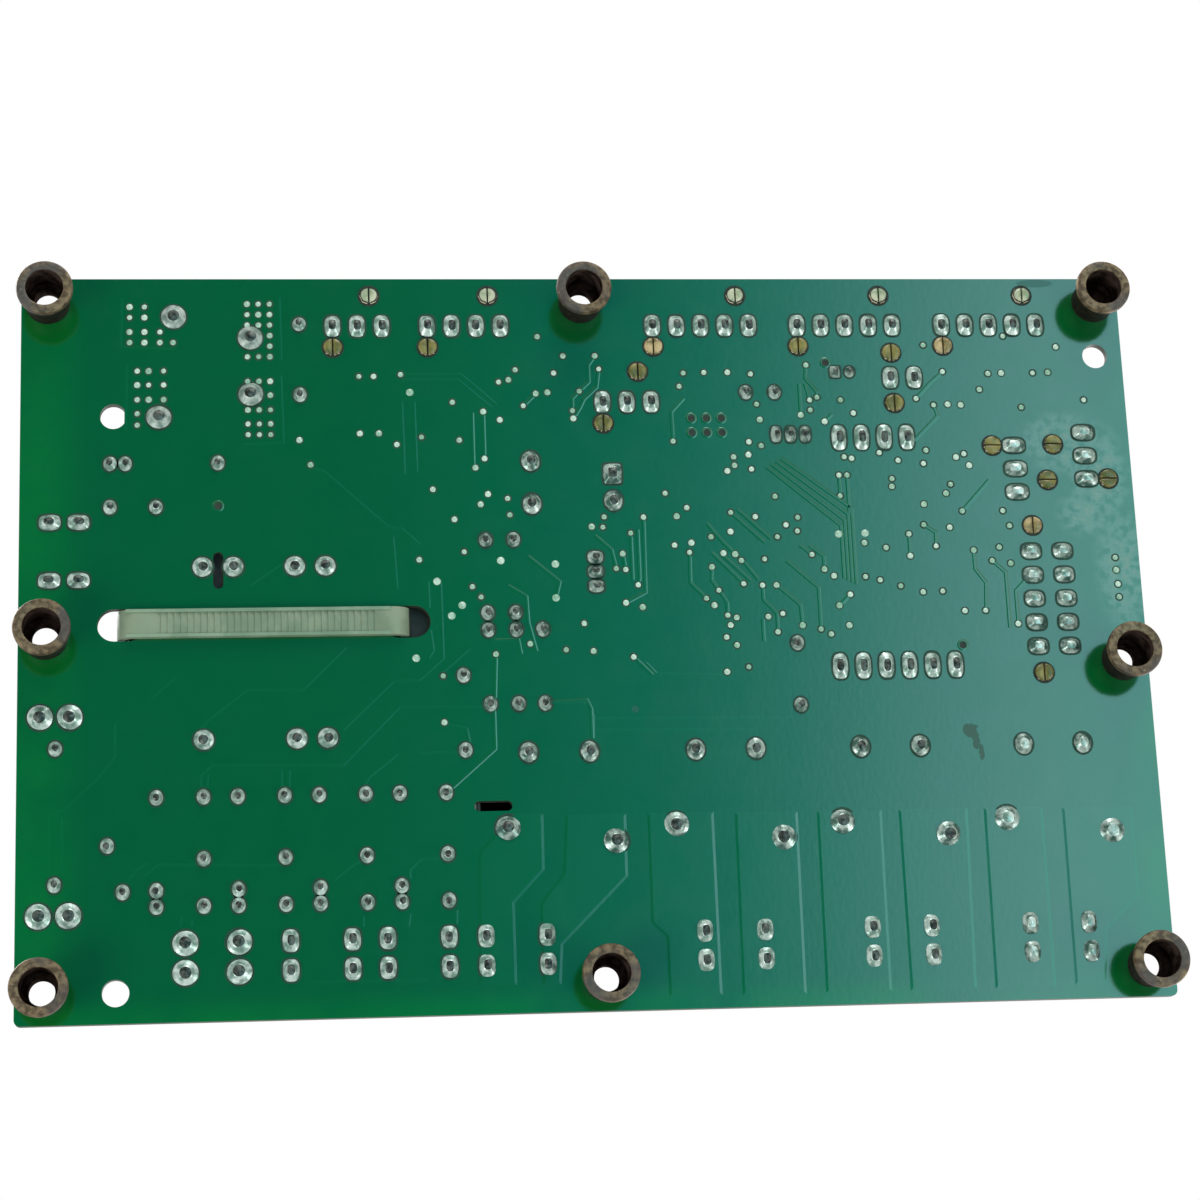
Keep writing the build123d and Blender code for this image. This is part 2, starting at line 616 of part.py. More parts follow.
def fuse_clip():
    """Spring clip: two arms and a floor, open at the top."""
    inner = FUSE_DIAMETER / 2 + CLIP_SLACK
    outer = inner + CLIP_THICKNESS
    lip = inner + CLIP_LIP
    bend = CLIP_HEIGHT - CLIP_LIP
    outline = Polyline(
        (-outer, 0),
        (outer, 0),
        (outer, bend),
        (lip + CLIP_THICKNESS, CLIP_HEIGHT),
        (lip, CLIP_HEIGHT),
        (inner, bend),
        (inner, CLIP_THICKNESS),
        (-inner, CLIP_THICKNESS),
        (-inner, bend),
        (-lip, CLIP_HEIGHT),
        (-lip - CLIP_THICKNESS, CLIP_HEIGHT),
        (-outer, bend),
        close=True,
    )
    return extrude(Plane.XZ * make_face(outline), CLIP_WIDTH / 2, both=True)


# ---------------------------------------------------------------- leaded parts
AXIAL_BODY_DIAMETER = 2.7
AXIAL_BODY_LENGTH = 5.2
AXIAL_LIFT = 0.6
AXIAL_SIDES = 8
AXIAL_PITCH = 12.7
DIODE_COLUMNS = [LEFT + 77.45, LEFT + 82.15, LEFT + 86.6]
DIODE_FRONT_ROW = FRONT + 46.8
DIODE_REAR_ROW = FRONT + 62.45
# Leaded diodes and resistors along Y: first pad and pad distance
DIODES = (
    [(x, DIODE_FRONT_ROW, AXIAL_PITCH) for x in DIODE_COLUMNS[:2]]
    + [(x, DIODE_REAR_ROW, AXIAL_PITCH) for x in DIODE_COLUMNS]
    + [(LEFT + 73.1, FRONT + 70.2, AXIAL_PITCH)]
)
RESISTORS = [(LEFT + 46.7, FRONT + 8.2, AXIAL_PITCH), (RIGHT - 60.4, FRONT + 65.4, 10.7)]


def axial_part(x, y, span, diameter, length):
    """Body lying along Y on two leads bent down to the board."""
    axis_z = TOP_FACE + AXIAL_LIFT + diameter / 2
    profile = RegularPolygon(diameter / 2, AXIAL_SIDES)
    body = Pos(x, y + span / 2, axis_z) * Rot(90, 0, 0) * extrude(profile, length / 2, both=True)
    run = box(x, y + span / 2, axis_z - LEAD / 2, LEAD, span + LEAD, LEAD)
    legs = [box(x, y + end, TOP_FACE, LEAD, LEAD, axis_z - TOP_FACE) for end in (0, span)]
    return body + run + legs[0] + legs[1]


LARGE_CAPACITOR = (RIGHT - 104.5, FRONT + 36.75, 16.0, 25.0, 7.6)
MEDIUM_CAPACITOR = (RIGHT - 90.6, FRONT + 37.7, 10.0, 16.0, 4.8)
SMALL_CAPACITOR = (LEFT + 16.15, FRONT + 32.95, 5.0, 8.0, 2.5)


CAN_GROOVE = 0.6                 # depth of the rolled groove


def can_capacitor(x, y, diameter, height, pitch):
    """Aluminium can with a rolled groove above its rubber seal."""
    r = diameter / 2
    groove = CAN_GROOVE
    section = [(0, 0), (r, 0), (r, 2 * groove), (r - groove, 3 * groove), (r, 4 * groove)]
    section += [(r, height), (0, height)]
    return Pos(x, y, TOP_FACE) * turned(section)


# Film capacitors: middle, pad distance, quarter turns of the pad row
FILM_LENGTH = 10.0
FILM_WIDTH = 4.2
FILM_HEIGHT = 9.5
FILM_PITCH = 7.6
FILM_CAPACITORS = [(LEFT + 18.7, FRONT + 40.55, 0), (LEFT + 32.8, FRONT + 36.7, 1)]

VARISTOR_DIAMETER = 13.0
VARISTOR_THICKNESS = 4.4
VARISTOR_LIFT = 1.5
VARISTOR_LEAD_STAGGER = 1.25
VARISTOR_LEAD_SPAN = 7.6
VARISTOR_PLACE = (LEFT + 15.85, FRONT + 101.55)


def varistor():
    """Coated disc on two leads that leave it on opposite sides of its thickness."""
    x, y = VARISTOR_PLACE
    r = VARISTOR_DIAMETER / 2
    disc = Pos(x, y, TOP_FACE + VARISTOR_LIFT + r) * Rot(0, 90, 0) * Cylinder(r, VARISTOR_THICKNESS)
    foot = TOP_FACE + VARISTOR_LIFT + r
    for side in (-1, 1):
        leg_x = x + side * VARISTOR_LEAD_STAGGER
        leg_y = y + side * VARISTOR_LEAD_SPAN / 2
        disc = disc + box(leg_x, leg_y, TOP_FACE, LEAD, LEAD, foot - TOP_FACE)
    return disc


CHOKE_DIAMETER = 16.0
CHOKE_HOLE = 6.0
CHOKE_WIDTH = 8.0
CHOKE_BASE_HEIGHT = 2.0
CHOKE_BASE_WIDTH = 9.6
CHOKE_BASE_MARGIN = 0.5          # base beyond the ring at each end
CHOKES = {
    "choke_front": (LEFT + 31.95, FRONT + 8.75, 12.9, 3.8),
    "choke_rear": (LEFT + 30.7, FRONT + 22.75, 15.4, -4.0),
}


def choke(x, y):
    """Wound toroid standing on edge in a trough of its moulded base."""
    base_length = CHOKE_DIAMETER + 2 * CHOKE_BASE_MARGIN
    base = box(x, y, TOP_FACE, base_length, CHOKE_BASE_WIDTH, CHOKE_BASE_HEIGHT)
    z = TOP_FACE + CHOKE_BASE_HEIGHT / 2 + CHOKE_DIAMETER / 2
    r = CHOKE_DIAMETER / 2
    hole = CHOKE_HOLE / 2
    half = CHOKE_WIDTH / 2
    ring = turned([(hole, -half), (r, -half), (r, half), (hole, half)])
    ring = Pos(x, y, z) * Rot(90, 0, 0) * ring
    trough = Pos(x, y, z) * Rot(90, 0, 0) * Cylinder(r, CHOKE_WIDTH)
    return base - trough, ring


REGULATOR_PLACE = (LEFT + 95.9, FRONT + 52.55)
REGULATOR_WIDTH = 10.2
REGULATOR_THICKNESS = 4.4
REGULATOR_BODY = 9.0
REGULATOR_TAB = 6.2
REGULATOR_TAB_THICKNESS = 1.3
REGULATOR_STAND = 3.5
REGULATOR_HOLE = 3.7
REGULATOR_CHAMFER = 0.6
LEAD_PITCH = 2.54


def regulator():
    """Upright three-lead regulator: moulded body with a drilled metal tab above it."""
    x, y = REGULATOR_PLACE
    foot = TOP_FACE + REGULATOR_STAND
    body = box(x, y, foot, REGULATOR_THICKNESS, REGULATOR_WIDTH, REGULATOR_BODY)
    body = chamfer(body.edges().group_by(Axis.X)[-1], REGULATOR_CHAMFER)
    tab_x = x - REGULATOR_THICKNESS / 2 + REGULATOR_TAB_THICKNESS / 2
    tab_z = foot + REGULATOR_BODY
    tab = box(tab_x, y, tab_z, REGULATOR_TAB_THICKNESS, REGULATOR_WIDTH, REGULATOR_TAB)
    hole = Pos(tab_x, y, tab_z + REGULATOR_TAB / 2) * Rot(0, 90, 0)
    tab = tab - hole * Cylinder(REGULATOR_HOLE / 2, 2 * REGULATOR_TAB_THICKNESS)
    legs = [box(x, y + i * LEAD_PITCH, TOP_FACE, LEAD, LEAD, REGULATOR_STAND) for i in (-1, 0, 1)]
    return body + tab + legs[0] + legs[1] + legs[2]


TRANSISTOR_PLACE = (RIGHT - 59.5, FRONT + 28.45)
TRANSISTOR_DIAMETER = 4.8
TRANSISTOR_HEIGHT = 4.8
TRANSISTOR_STAND = 2.5
TRANSISTOR_FLAT = 1.3            # flat face from the case's axis


def transistor():
    x, y = TRANSISTOR_PLACE
    case = upright(x, y, TOP_FACE + TRANSISTOR_STAND, TRANSISTOR_DIAMETER, TRANSISTOR_HEIGHT)
    cut_y = y + TRANSISTOR_FLAT + TRANSISTOR_DIAMETER / 2
    foot = TOP_FACE + TRANSISTOR_STAND
    case = case - box(x, cut_y, foot, 2 * TRANSISTOR_DIAMETER, TRANSISTOR_DIAMETER, TRANSISTOR_HEIGHT)
    for i in (-1, 0, 1):
        lead_x = x + i * (TRANSISTOR_DIAMETER / 2 - LEAD)
        case = case + box(lead_x, y, TOP_FACE, LEAD, LEAD, TRANSISTOR_STAND)
    return case


CRYSTAL_PLACE = (RIGHT - 64.4, FRONT + 20.8)
CRYSTAL_LENGTH = 11.0
CRYSTAL_WIDTH = 4.6
CRYSTAL_HEIGHT = 3.6
CRYSTAL_FLANGE = 0.5
CRYSTAL_FLANGE_WIDTH = 0.4
CRYSTAL_PITCH = 5.0


def crystal():
    """Low metal can with a welded flange."""
    flange = extrude(SlotOverall(CRYSTAL_LENGTH, CRYSTAL_WIDTH), CRYSTAL_FLANGE)
    rim = 2 * CRYSTAL_FLANGE_WIDTH
    can = extrude(SlotOverall(CRYSTAL_LENGTH - rim, CRYSTAL_WIDTH - rim), CRYSTAL_HEIGHT)
    return Pos(*CRYSTAL_PLACE, TOP_FACE) * (flange + can)


JUMPER_PLACE = (RIGHT - 51.1, FRONT + 17.15)
JUMPER_BASE = 2.54
JUMPER_PIN = 0.64
JUMPER_PIN_HEIGHT = 6.0


# ---------------------------------------------------------------- surface-mounted parts
CHIP_LIFT = 0.1
CHIP_THICKNESS = 1.4
CHIP_CHAMFER = 0.25
CONTROLLER_SIDE = 12.0
CONTROLLER_PLACE = (RIGHT - 67.0, FRONT + 50.25)
DRIVER_LENGTH = 9.9
DRIVER_WIDTH = 3.9
DRIVER_PLACES = [(RIGHT - 80.0, FRONT + 72.5), (RIGHT - 41.0, FRONT + 75.6), (RIGHT - 41.0, FRONT + 48.5)]


def chip(x, y, length, width):
    case = box(x, y, TOP_FACE + CHIP_LIFT, length, width, CHIP_THICKNESS)
    return chamfer(case.edges().group_by(Axis.Z)[-1], CHIP_CHAMFER)


PASSIVE_LENGTH = 2.0
PASSIVE_WIDTH = 1.25
PASSIVE_HEIGHT = 0.6
PASSIVE_PITCH = 2.6
# Rows of surface-mounted resistors and capacitors: first part, count
PASSIVE_ROWS = [
    (RIGHT - 76.0, FRONT + 40.0, 7),
    (RIGHT - 76.0, FRONT + 60.8, 7),
    (RIGHT - 54.0, FRONT + 43.0, 4),
    (RIGHT - 34.0, FRONT + 40.0, 4),
    (RIGHT - 46.0, FRONT + 56.0, 6),
    (RIGHT - 26.0, FRONT + 20.0, 5),
]


def passives():
    parts = []
    for x, y, count in PASSIVE_ROWS:
        for i in range(count):
            place_x = x + i * PASSIVE_PITCH
            parts.append(box(place_x, y, TOP_FACE, PASSIVE_WIDTH, PASSIVE_LENGTH, PASSIVE_HEIGHT))
    return parts


# ---------------------------------------------------------------- solder joints
def joint(length, width, sides):
    """Solder cone hanging from the solder face: a many-sided frustum over its pad."""
    angles = [(2 * i + 1) * pi / sides for i in range(sides)]
    pad = [(length / 2 * cos(a), width / 2 * sin(a)) for a in angles]
    rim = [Vector(x, y, 0) for x, y in pad]
    tip = [Vector(x * SOLDER_TOP_SHARE, y * SOLDER_TOP_SHARE, -SOLDER_HEIGHT) for x, y in pad]
    rings = [rim, tip] + [[rim[i - 1], rim[i], tip[i], tip[i - 1]] for i in range(sides)]
    return Solid(Shell([Face(Wire.make_polygon(ring)) for ring in rings]))


def joints(shape, places):
    """Copies of one joint on the solder face."""
    return [Pos(x, y, SOLDER_FACE) * shape for x, y in places]


HEADER_PAD = (2.7, 3.9)
WIDE_PAD = (2.6, 4.5)
PLUG_PAD = (3.4, 2.7)
BLADE_PAD = (2.7, 3.7)
BIG_PAD = 4.2
COIL_PAD = 3.3
TRANSFORMER_PAD = 3.4
SMALL_PAD = 2.4
TWIN_PAD_GAP = 2.6               # between the two pads of a relay's middle contact
CAPACITOR_PAD = 3.4
TRANSISTOR_PAD = (2.0, 2.7)
REGULATOR_PAD = (2.9, 2.0)
JUMPER_PAD = 1.9


def header_joints():
    along = joint(*HEADER_PAD, OVAL_SIDES)
    across = joint(HEADER_PAD[1], HEADER_PAD[0], OVAL_SIDES)
    found = []
    for x, y, ways, quarters in PEGGED_HEADERS.values():
        places = [(x + tx, y + ty) for tx, ty in (turn(i * HEADER_PITCH, 0, quarters) for i in range(ways))]
        found += joints(across if quarters % 2 else along, places)
    x, y = TWO_WAY_PLACE
    found += joints(along, [(x, y), (x + HEADER_PITCH, y)])
    wide = joint(*WIDE_PAD, OVAL_SIDES)
    for x, y, ways in WIDE_HEADERS.values():
        found += joints(wide, [(x + i * WIDE_PITCH, y) for i in range(ways)])
    x, y = POWER_PLUG_PLACE
    plug = joint(*PLUG_PAD, OVAL_SIDES)
    for column in (0, POWER_PLUG_ROWS):
        found += joints(plug, [(x + column, y + i * HEADER_PITCH) for i in range(POWER_PLUG_WAYS)])
    return found


def blade_legs(xs):
    return [(x, BLADE_ROW_Y + side * BLADE_LEG_SPACING / 2) for x in xs for side in (-1, 1)]


def terminal_joints():
    oval = joint(*BLADE_PAD, OVAL_SIDES)
    across = joint(BLADE_PAD[1], BLADE_PAD[0], OVAL_SIDES)
    big = joint(BIG_PAD, BIG_PAD, OVAL_SIDES)
    found = joints(oval, blade_legs(REAR_LEFT_BLADES + REAR_RIGHT_BLADES))
    found += joints(big, blade_legs(REAR_BIG_BLADES))
    for i, (x, y) in enumerate(SIDE_BLADES):
        legs = [(x + side * BLADE_LEG_SPACING / 2, y) for side in (-1, 1)]
        found += joints(across if i < 2 else big, legs)
    return found


def relay_joints():
    coil = joint(COIL_PAD, COIL_PAD, ROUND_SIDES)
    contact = joint(BIG_PAD, BIG_PAD, OVAL_SIDES)
    small = joint(SMALL_PAD, SMALL_PAD, ROUND_SIDES)
    found = []
    row = POWER_RELAY_FRONT + POWER_RELAY_PIN_INSET
    for x in POWER_RELAY_XS:
        found += joints(coil, [(x + side * POWER_RELAY_COIL_SPAN / 2, row) for side in (-1, 1)])
        half = POWER_RELAY_CONTACT_SPAN / 2
        left, right = POWER_RELAY_CONTACT_ROWS
        found += joints(contact, [(x - half, row + left), (x + half, row + right)])
    row = SMALL_RELAY_FRONT + SMALL_RELAY_PIN_INSET
    for x in SMALL_RELAY_XS:
        half = SMALL_RELAY_COIL_SPAN / 2
        rear = row + SMALL_RELAY_LENGTH - 2 * SMALL_RELAY_PIN_INSET
        middle = row + SMALL_RELAY_CONTACT_ROW
        found += joints(small, [(x - half, row), (x + half, row), (x + half, middle), (x + half, rear)])
        found += joints(small, [(x - half, rear), (x - half, rear - TWIN_PAD_GAP)])
    return found


def transformer_joints():
    pad = joint(TRANSFORMER_PAD, TRANSFORMER_PAD, OVAL_SIDES)
    front = TRANSFORMER_Y - TRANSFORMER_PIN_ROW
    rear = TRANSFORMER_Y + TRANSFORMER_PIN_ROW
    pitch = TRANSFORMER_PIN_PITCH
    places = [(TRANSFORMER_X + i * pitch, front) for i in (-2, -1, 1, 2)]
    places += [(TRANSFORMER_X + i * pitch, rear) for i in (-2, 1, 2)]
    return joints(pad, places)


def leaded_part_joints():
    small = joint(SMALL_PAD, SMALL_PAD, ROUND_SIDES)
    large = joint(CAPACITOR_PAD, CAPACITOR_PAD, ROUND_SIDES)
    big = joint(BIG_PAD, BIG_PAD, OVAL_SIDES)
    lead = joint(*TRANSISTOR_PAD, ROUND_SIDES)
    found = []
    for x, y, span in DIODES + RESISTORS:
        found += joints(small, [(x, y), (x, y + span)])
    for x, y, _, _, pitch in (LARGE_CAPACITOR, MEDIUM_CAPACITOR):
        found += joints(large, [(x, y - pitch / 2), (x, y + pitch / 2)])
    x, y, _, _, pitch = SMALL_CAPACITOR
    found += joints(small, [(x - pitch / 2, y), (x + pitch / 2, y)])
    for x, y, quarters in FILM_CAPACITORS:
        tx, ty = turn(FILM_PITCH / 2, 0, quarters)
        found += joints(small, [(x - tx, y - ty), (x + tx, y + ty)])
    x, y = VARISTOR_PLACE
    found += joints(small, [
        (x + side * VARISTOR_LEAD_STAGGER, y + side * VARISTOR_LEAD_SPAN / 2) for side in (-1, 1)
    ])
    for x, y, span, rise in CHOKES.values():
        found += joints(big, [(x - span / 2, y - rise / 2), (x + span / 2, y + rise / 2)])
    x, y = FUSE_PLACE
    found += joints(small, [(x, y + side * FUSE_PIN_SPAN / 2) for side in (-1, 1)])
    x, y = REGULATOR_PLACE
    found += joints(joint(*REGULATOR_PAD, ROUND_SIDES), [(x, y + i * LEAD_PITCH) for i in (-1, 0, 1)])
    x, y = TRANSISTOR_PLACE
    found += joints(lead, [(x + i * LEAD_PITCH, y) for i in (-1, 0, 1)])
    x, y = CRYSTAL_PLACE
    found += joints(small, [(x + side * CRYSTAL_PITCH / 2, y) for side in (-1, 1)])
    x, y = JUMPER_PLACE
    found += joints(joint(JUMPER_PAD, JUMPER_PAD, ROUND_SIDES), [(x, y), (x + LEAD_PITCH, y)])
    return found


# ---------------------------------------------------------------- build every node
save("circuit_board", circuit_board())
for name, (x, y) in STANDOFF_PLACES.items():
    save(name, Pos(x, y, 0) * standoff())

connector_pins = []
for name, (x, y, ways, quarters) in PEGGED_HEADERS.items():
    where = header_location(x, y, quarters)
    save(name, where * pegged_header(ways, header_pegs(ways)))
    pins = header_pins(ways, HEADER_PITCH, HEADER_PIN, HEADER_PIN_HEIGHT, HEADER_BASE_HEIGHT)
    connector_pins += [where * pin for pin in pins]

where = header_location(*TWO_WAY_PLACE, 0)
save("header_two_way", where * pegged_header(2, two_way_pegs()))
pins = header_pins(2, HEADER_PITCH, HEADER_PIN, HEADER_PIN_HEIGHT, HEADER_BASE_HEIGHT)
connector_pins += [where * pin for pin in pins]

for name, (x, y, ways) in WIDE_HEADERS.items():
    where = header_location(x, y, 0)
    save(name, where * wide_header(ways))
    pins = header_pins(ways, WIDE_PITCH, HEADER_PIN, HEADER_PIN_HEIGHT, WIDE_BASE_HEIGHT)
    connector_pins += [where * pin for pin in pins]

where = header_location(*POWER_PLUG_PLACE, 0)
save("power_connector", where * power_plug_body())
connector_pins += [where * pin for pin in power_plug_pins()]

where = header_location(*JUMPER_PLACE, 0)
save("jumper_base", where * box(LEAD_PITCH / 2, 0, 0, 2 * LEAD_PITCH, JUMPER_BASE, JUMPER_BASE))
pins = header_pins(2, LEAD_PITCH, JUMPER_PIN, JUMPER_PIN_HEIGHT, JUMPER_BASE)
connector_pins += [where * pin for pin in pins]
save("connector_pins", *connector_pins)

save("transformer_core", transformer_core())
save("transformer_bobbin", transformer_bobbin())
flanges = bobbin_flanges()
save("transformer_primary_winding", winding(flanges[0] + BOBBIN_FLANGE, flanges[1]))
save("transformer_secondary_winding", winding(flanges[1] + BOBBIN_FLANGE, flanges[2]))
save("cable_tie", cable_tie())

power_relay = relay(POWER_RELAY_WIDTH, POWER_RELAY_LENGTH, POWER_RELAY_HEIGHT)
for i, x in enumerate(POWER_RELAY_XS):
    save(f"power_relay_{i + 1}", Pos(x, POWER_RELAY_FRONT, TOP_FACE) * power_relay)
small_relay = relay(SMALL_RELAY_WIDTH, SMALL_RELAY_LENGTH, SMALL_RELAY_HEIGHT)
for i, x in enumerate(SMALL_RELAY_XS):
    save(f"small_relay_{i + 1}", Pos(x, SMALL_RELAY_FRONT, TOP_FACE) * small_relay)

terminal = blade()
side_terminal = Rot(0, 0, 90) * terminal
save("side_blades", *[Pos(x, y, TOP_FACE) * side_terminal for x, y in SIDE_BLADES])
rear_left = REAR_BIG_BLADES + REAR_LEFT_BLADES
save("rear_blades_left", *[Pos(x, BLADE_ROW_Y, TOP_FACE) * terminal for x in rear_left])
save("rear_blades_right", *[Pos(x, BLADE_ROW_Y, TOP_FACE) * terminal for x in REAR_RIGHT_BLADES])

save("fuse", fuse())
clip_offset = FUSE_LENGTH / 2 - FUSE_CAP / 2
clips = [Pos(FUSE_PLACE[0], FUSE_PLACE[1] + s * clip_offset, TOP_FACE) * fuse_clip() for s in (-1, 1)]
save("fuse_clips", *clips)
save("varistor", varistor())
choke_bases = []
for name, (x, y, _, _) in CHOKES.items():
    base, ring = choke(x, y)
    choke_bases.append(base)
    save(name, ring)
save("choke_bases", *choke_bases)

save("large_capacitor", can_capacitor(*LARGE_CAPACITOR))
save("medium_capacitor", can_capacitor(*MEDIUM_CAPACITOR))
save("small_capacitor", can_capacitor(*SMALL_CAPACITOR))
films = [
    Pos(x, y, TOP_FACE) * Rot(0, 0, 90 * quarters) * Box(FILM_LENGTH, FILM_WIDTH, FILM_HEIGHT, align=STANDING)
    for x, y, quarters in FILM_CAPACITORS
]
save("film_capacitors", *films)
save("diodes", *[axial_part(x, y, s, AXIAL_BODY_DIAMETER, AXIAL_BODY_LENGTH) for x, y, s in DIODES])
save("resistors", *[axial_part(x, y, s, AXIAL_BODY_DIAMETER, AXIAL_BODY_LENGTH) for x, y, s in RESISTORS])
save("regulator", regulator())
save("transistor", transistor())
save("crystal", crystal())

save("microcontroller", chip(*CONTROLLER_PLACE, CONTROLLER_SIDE, CONTROLLER_SIDE))
save("driver_chips", *[chip(x, y, DRIVER_LENGTH, DRIVER_WIDTH) for x, y in DRIVER_PLACES])
save("surface_passives", *passives())

save("solder_headers", *header_joints())
save("solder_power_parts", *terminal_joints(), *relay_joints(), *transformer_joints())
save("solder_leaded_parts", *leaded_part_joints())
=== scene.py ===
import math
import random

import bmesh
import bpy
from mathutils import Matrix, Vector

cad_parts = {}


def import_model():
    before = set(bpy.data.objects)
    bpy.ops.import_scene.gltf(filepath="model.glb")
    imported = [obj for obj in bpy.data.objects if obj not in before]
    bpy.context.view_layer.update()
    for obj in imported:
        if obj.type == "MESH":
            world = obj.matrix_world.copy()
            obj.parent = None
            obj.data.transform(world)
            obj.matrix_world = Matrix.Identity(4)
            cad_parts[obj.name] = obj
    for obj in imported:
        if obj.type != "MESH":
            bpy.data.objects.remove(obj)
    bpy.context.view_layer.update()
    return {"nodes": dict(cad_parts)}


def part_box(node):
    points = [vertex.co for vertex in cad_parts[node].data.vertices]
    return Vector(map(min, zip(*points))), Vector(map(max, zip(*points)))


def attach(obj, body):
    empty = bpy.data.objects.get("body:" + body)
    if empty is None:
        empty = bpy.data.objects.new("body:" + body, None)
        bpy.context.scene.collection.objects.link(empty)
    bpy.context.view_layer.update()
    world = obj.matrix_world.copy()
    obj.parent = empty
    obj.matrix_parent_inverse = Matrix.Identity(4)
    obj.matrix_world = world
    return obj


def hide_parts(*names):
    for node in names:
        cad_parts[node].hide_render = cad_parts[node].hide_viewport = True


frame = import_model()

# Looks of an oven control board: the CAD nodes are dressed, part by part, in the same frame.
# The frame is in metres. Tables, forms and places are in millimetres, and Form.piece scales them by MM.
# Left is -X, front is -Y, and the solder side faces down.

MM = 0.001
NODES = frame["nodes"]
DICE = random.Random(7)
LOOKS = {}


def box_of(node):
    """Lowest and highest corner of a CAD node."""
    return [Vector(corner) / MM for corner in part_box(node)]


BOARD_LOW, BOARD_HIGH = box_of("circuit_board")
SOLDER_Z = BOARD_LOW.z
TOP_Z = BOARD_HIGH.z


# ---- material tools
def feed(mat, node, values):
    """Sets inputs of a node by name or number; a value that is another node's output is joined."""
    for key, value in values.items():
        socket = node.inputs[key]
        if isinstance(value, bpy.types.NodeSocket):
            mat.node_tree.links.new(value, socket)
        else:
            socket.default_value = (*value, 1) if socket.type == "RGBA" else value


def add_node(mat, kind, values, **settings):
    """New shader node with its settings and its inputs' values."""
    made = mat.node_tree.nodes.new("ShaderNode" + kind)
    for key, value in settings.items():
        setattr(made, key, value)
    feed(mat, made, values)
    return made


def principled(name, color, roughness, metallic, more=()):
    """New material in LOOKS; more holds further inputs of its shader."""
    mat = LOOKS[name] = bpy.data.materials.new(name)
    mat.use_nodes = True
    shader = mat.node_tree.nodes["Principled BSDF"]
    feed(mat, shader, {"Base Color": color, "Roughness": roughness, "Metallic": metallic, **dict(more)})
    return mat, shader


def place_of(mat, scale=(1, 1, 1), shift=(0, 0, 0)):
    """Object coordinates in metres, scaled and moved."""
    coords = add_node(mat, "TexCoord", {}).outputs["Object"]
    return add_node(mat, "Mapping", {"Vector": coords, "Scale": scale, "Location": shift}).outputs["Vector"]


def axes(mat, vector):
    return add_node(mat, "SeparateXYZ", {"Vector": vector}).outputs


def noise(mat, scale, detail=3.0, stretch=(1, 1, 1)):
    values = {"Vector": place_of(mat, stretch), "Scale": scale, "Detail": detail}
    return add_node(mat, "TexNoise", values).outputs["Fac"]


def ramp(mat, fac, low, high):
    """Smooth step of fac from low to high."""
    values = {"Value": fac, "From Min": low, "From Max": high}
    return add_node(mat, "MapRange", values, interpolation_type="SMOOTHSTEP").outputs["Result"]


def spread(mat, fac, low, high):
    """Value from low to high as fac goes from 0 to 1."""
    return add_node(mat, "MapRange", {"Value": fac, "To Min": low, "To Max": high}).outputs["Result"]


def arithmetic(mat, operation, a, b):
    return add_node(mat, "Math", {0: a, 1: b}, operation=operation).outputs["Value"]


def times(mat, a, b):
    return arithmetic(mat, "MULTIPLY", a, b)


def most(mat, *values):
    """The largest of several values."""
    found = values[0]
    for value in values[1:]:
        found = arithmetic(mat, "MAXIMUM", found, value)
    return found


def mix(mat, fac, a, b):
    """Mix of two colours, each a triple or an output."""
    return add_node(mat, "Mix", {0: fac, 6: a, 7: b}, data_type="RGBA").outputs[2]


def bump(mat, shader, height, strength, depth):
    values = {"Height": height, "Strength": strength, "Distance": depth * MM}
    feed(mat, shader, {"Normal": add_node(mat, "Bump", values).outputs["Normal"]})


def blot(mat, centre, radii):
    """1 in the middle of an ellipsoid, falling to 0 at its surface."""
    scale = [1 / (r * MM) for r in radii]
    shift = [-c * MM * s for c, s in zip(centre, scale)]
    values = {"Vector": place_of(mat, scale, shift)}
    return add_node(mat, "TexGradient", values, gradient_type="SPHERICAL").outputs["Fac"]


def any_of(mat, marks):
    """The strongest of several blots."""
    return most(mat, *[blot(mat, *mark) for mark in marks])


def grained(name, dark, light, rough, metallic, scale, grain, depth=0.01, more=()):
    """Cloudy colour and roughness with a fine grain in the surface."""
    mat, shader = principled(name, dark, rough[0], metallic, more)
    cloud = ramp(mat, noise(mat, scale), 0.35, 0.65)
    color = mix(mat, cloud, dark, light)
    roughness = spread(mat, noise(mat, scale * 2.3), *rough)
    feed(mat, shader, {"Base Color": color, "Roughness": roughness})
    bump(mat, shader, noise(mat, grain, 2.0), 0.6, depth)


def striped(name, dark, light, axis, pitch, roughness, metallic, depth):
    """Fine parallel layers across an axis, such as laminations, wire or tape edges."""
    mat, shader = principled(name, dark, roughness, metallic)
    scale = math.pi / 10 / (pitch * MM)
    values = {"Vector": place_of(mat), "Scale": scale, "Distortion": 0.6, "Detail": 1.0}
    wave = add_node(mat, "TexWave", values, bands_direction=axis).outputs["Fac"]
    fac = times(mat, wave, ramp(mat, noise(mat, 260), 0.2, 0.7))
    feed(mat, shader, {"Base Color": mix(mat, fac, dark, light)})
    bump(mat, shader, wave, 0.8, depth)


# ---- materials
MASK_COPPER = (0.0004, 0.08, 0.016)
MASK_LAMINATE = (0.0006, 0.12, 0.014)
MASK_TRACK = (0.0012, 0.088, 0.02)
# Board sides and slot walls: laminate darkened with painted shade
SHADED_LAMINATE_EDGE = (0.018, 0.03, 0.012)
RESIDUE = (0.3, 0.45, 0.42)
STAIN = (0.0, 0.04, 0.014)

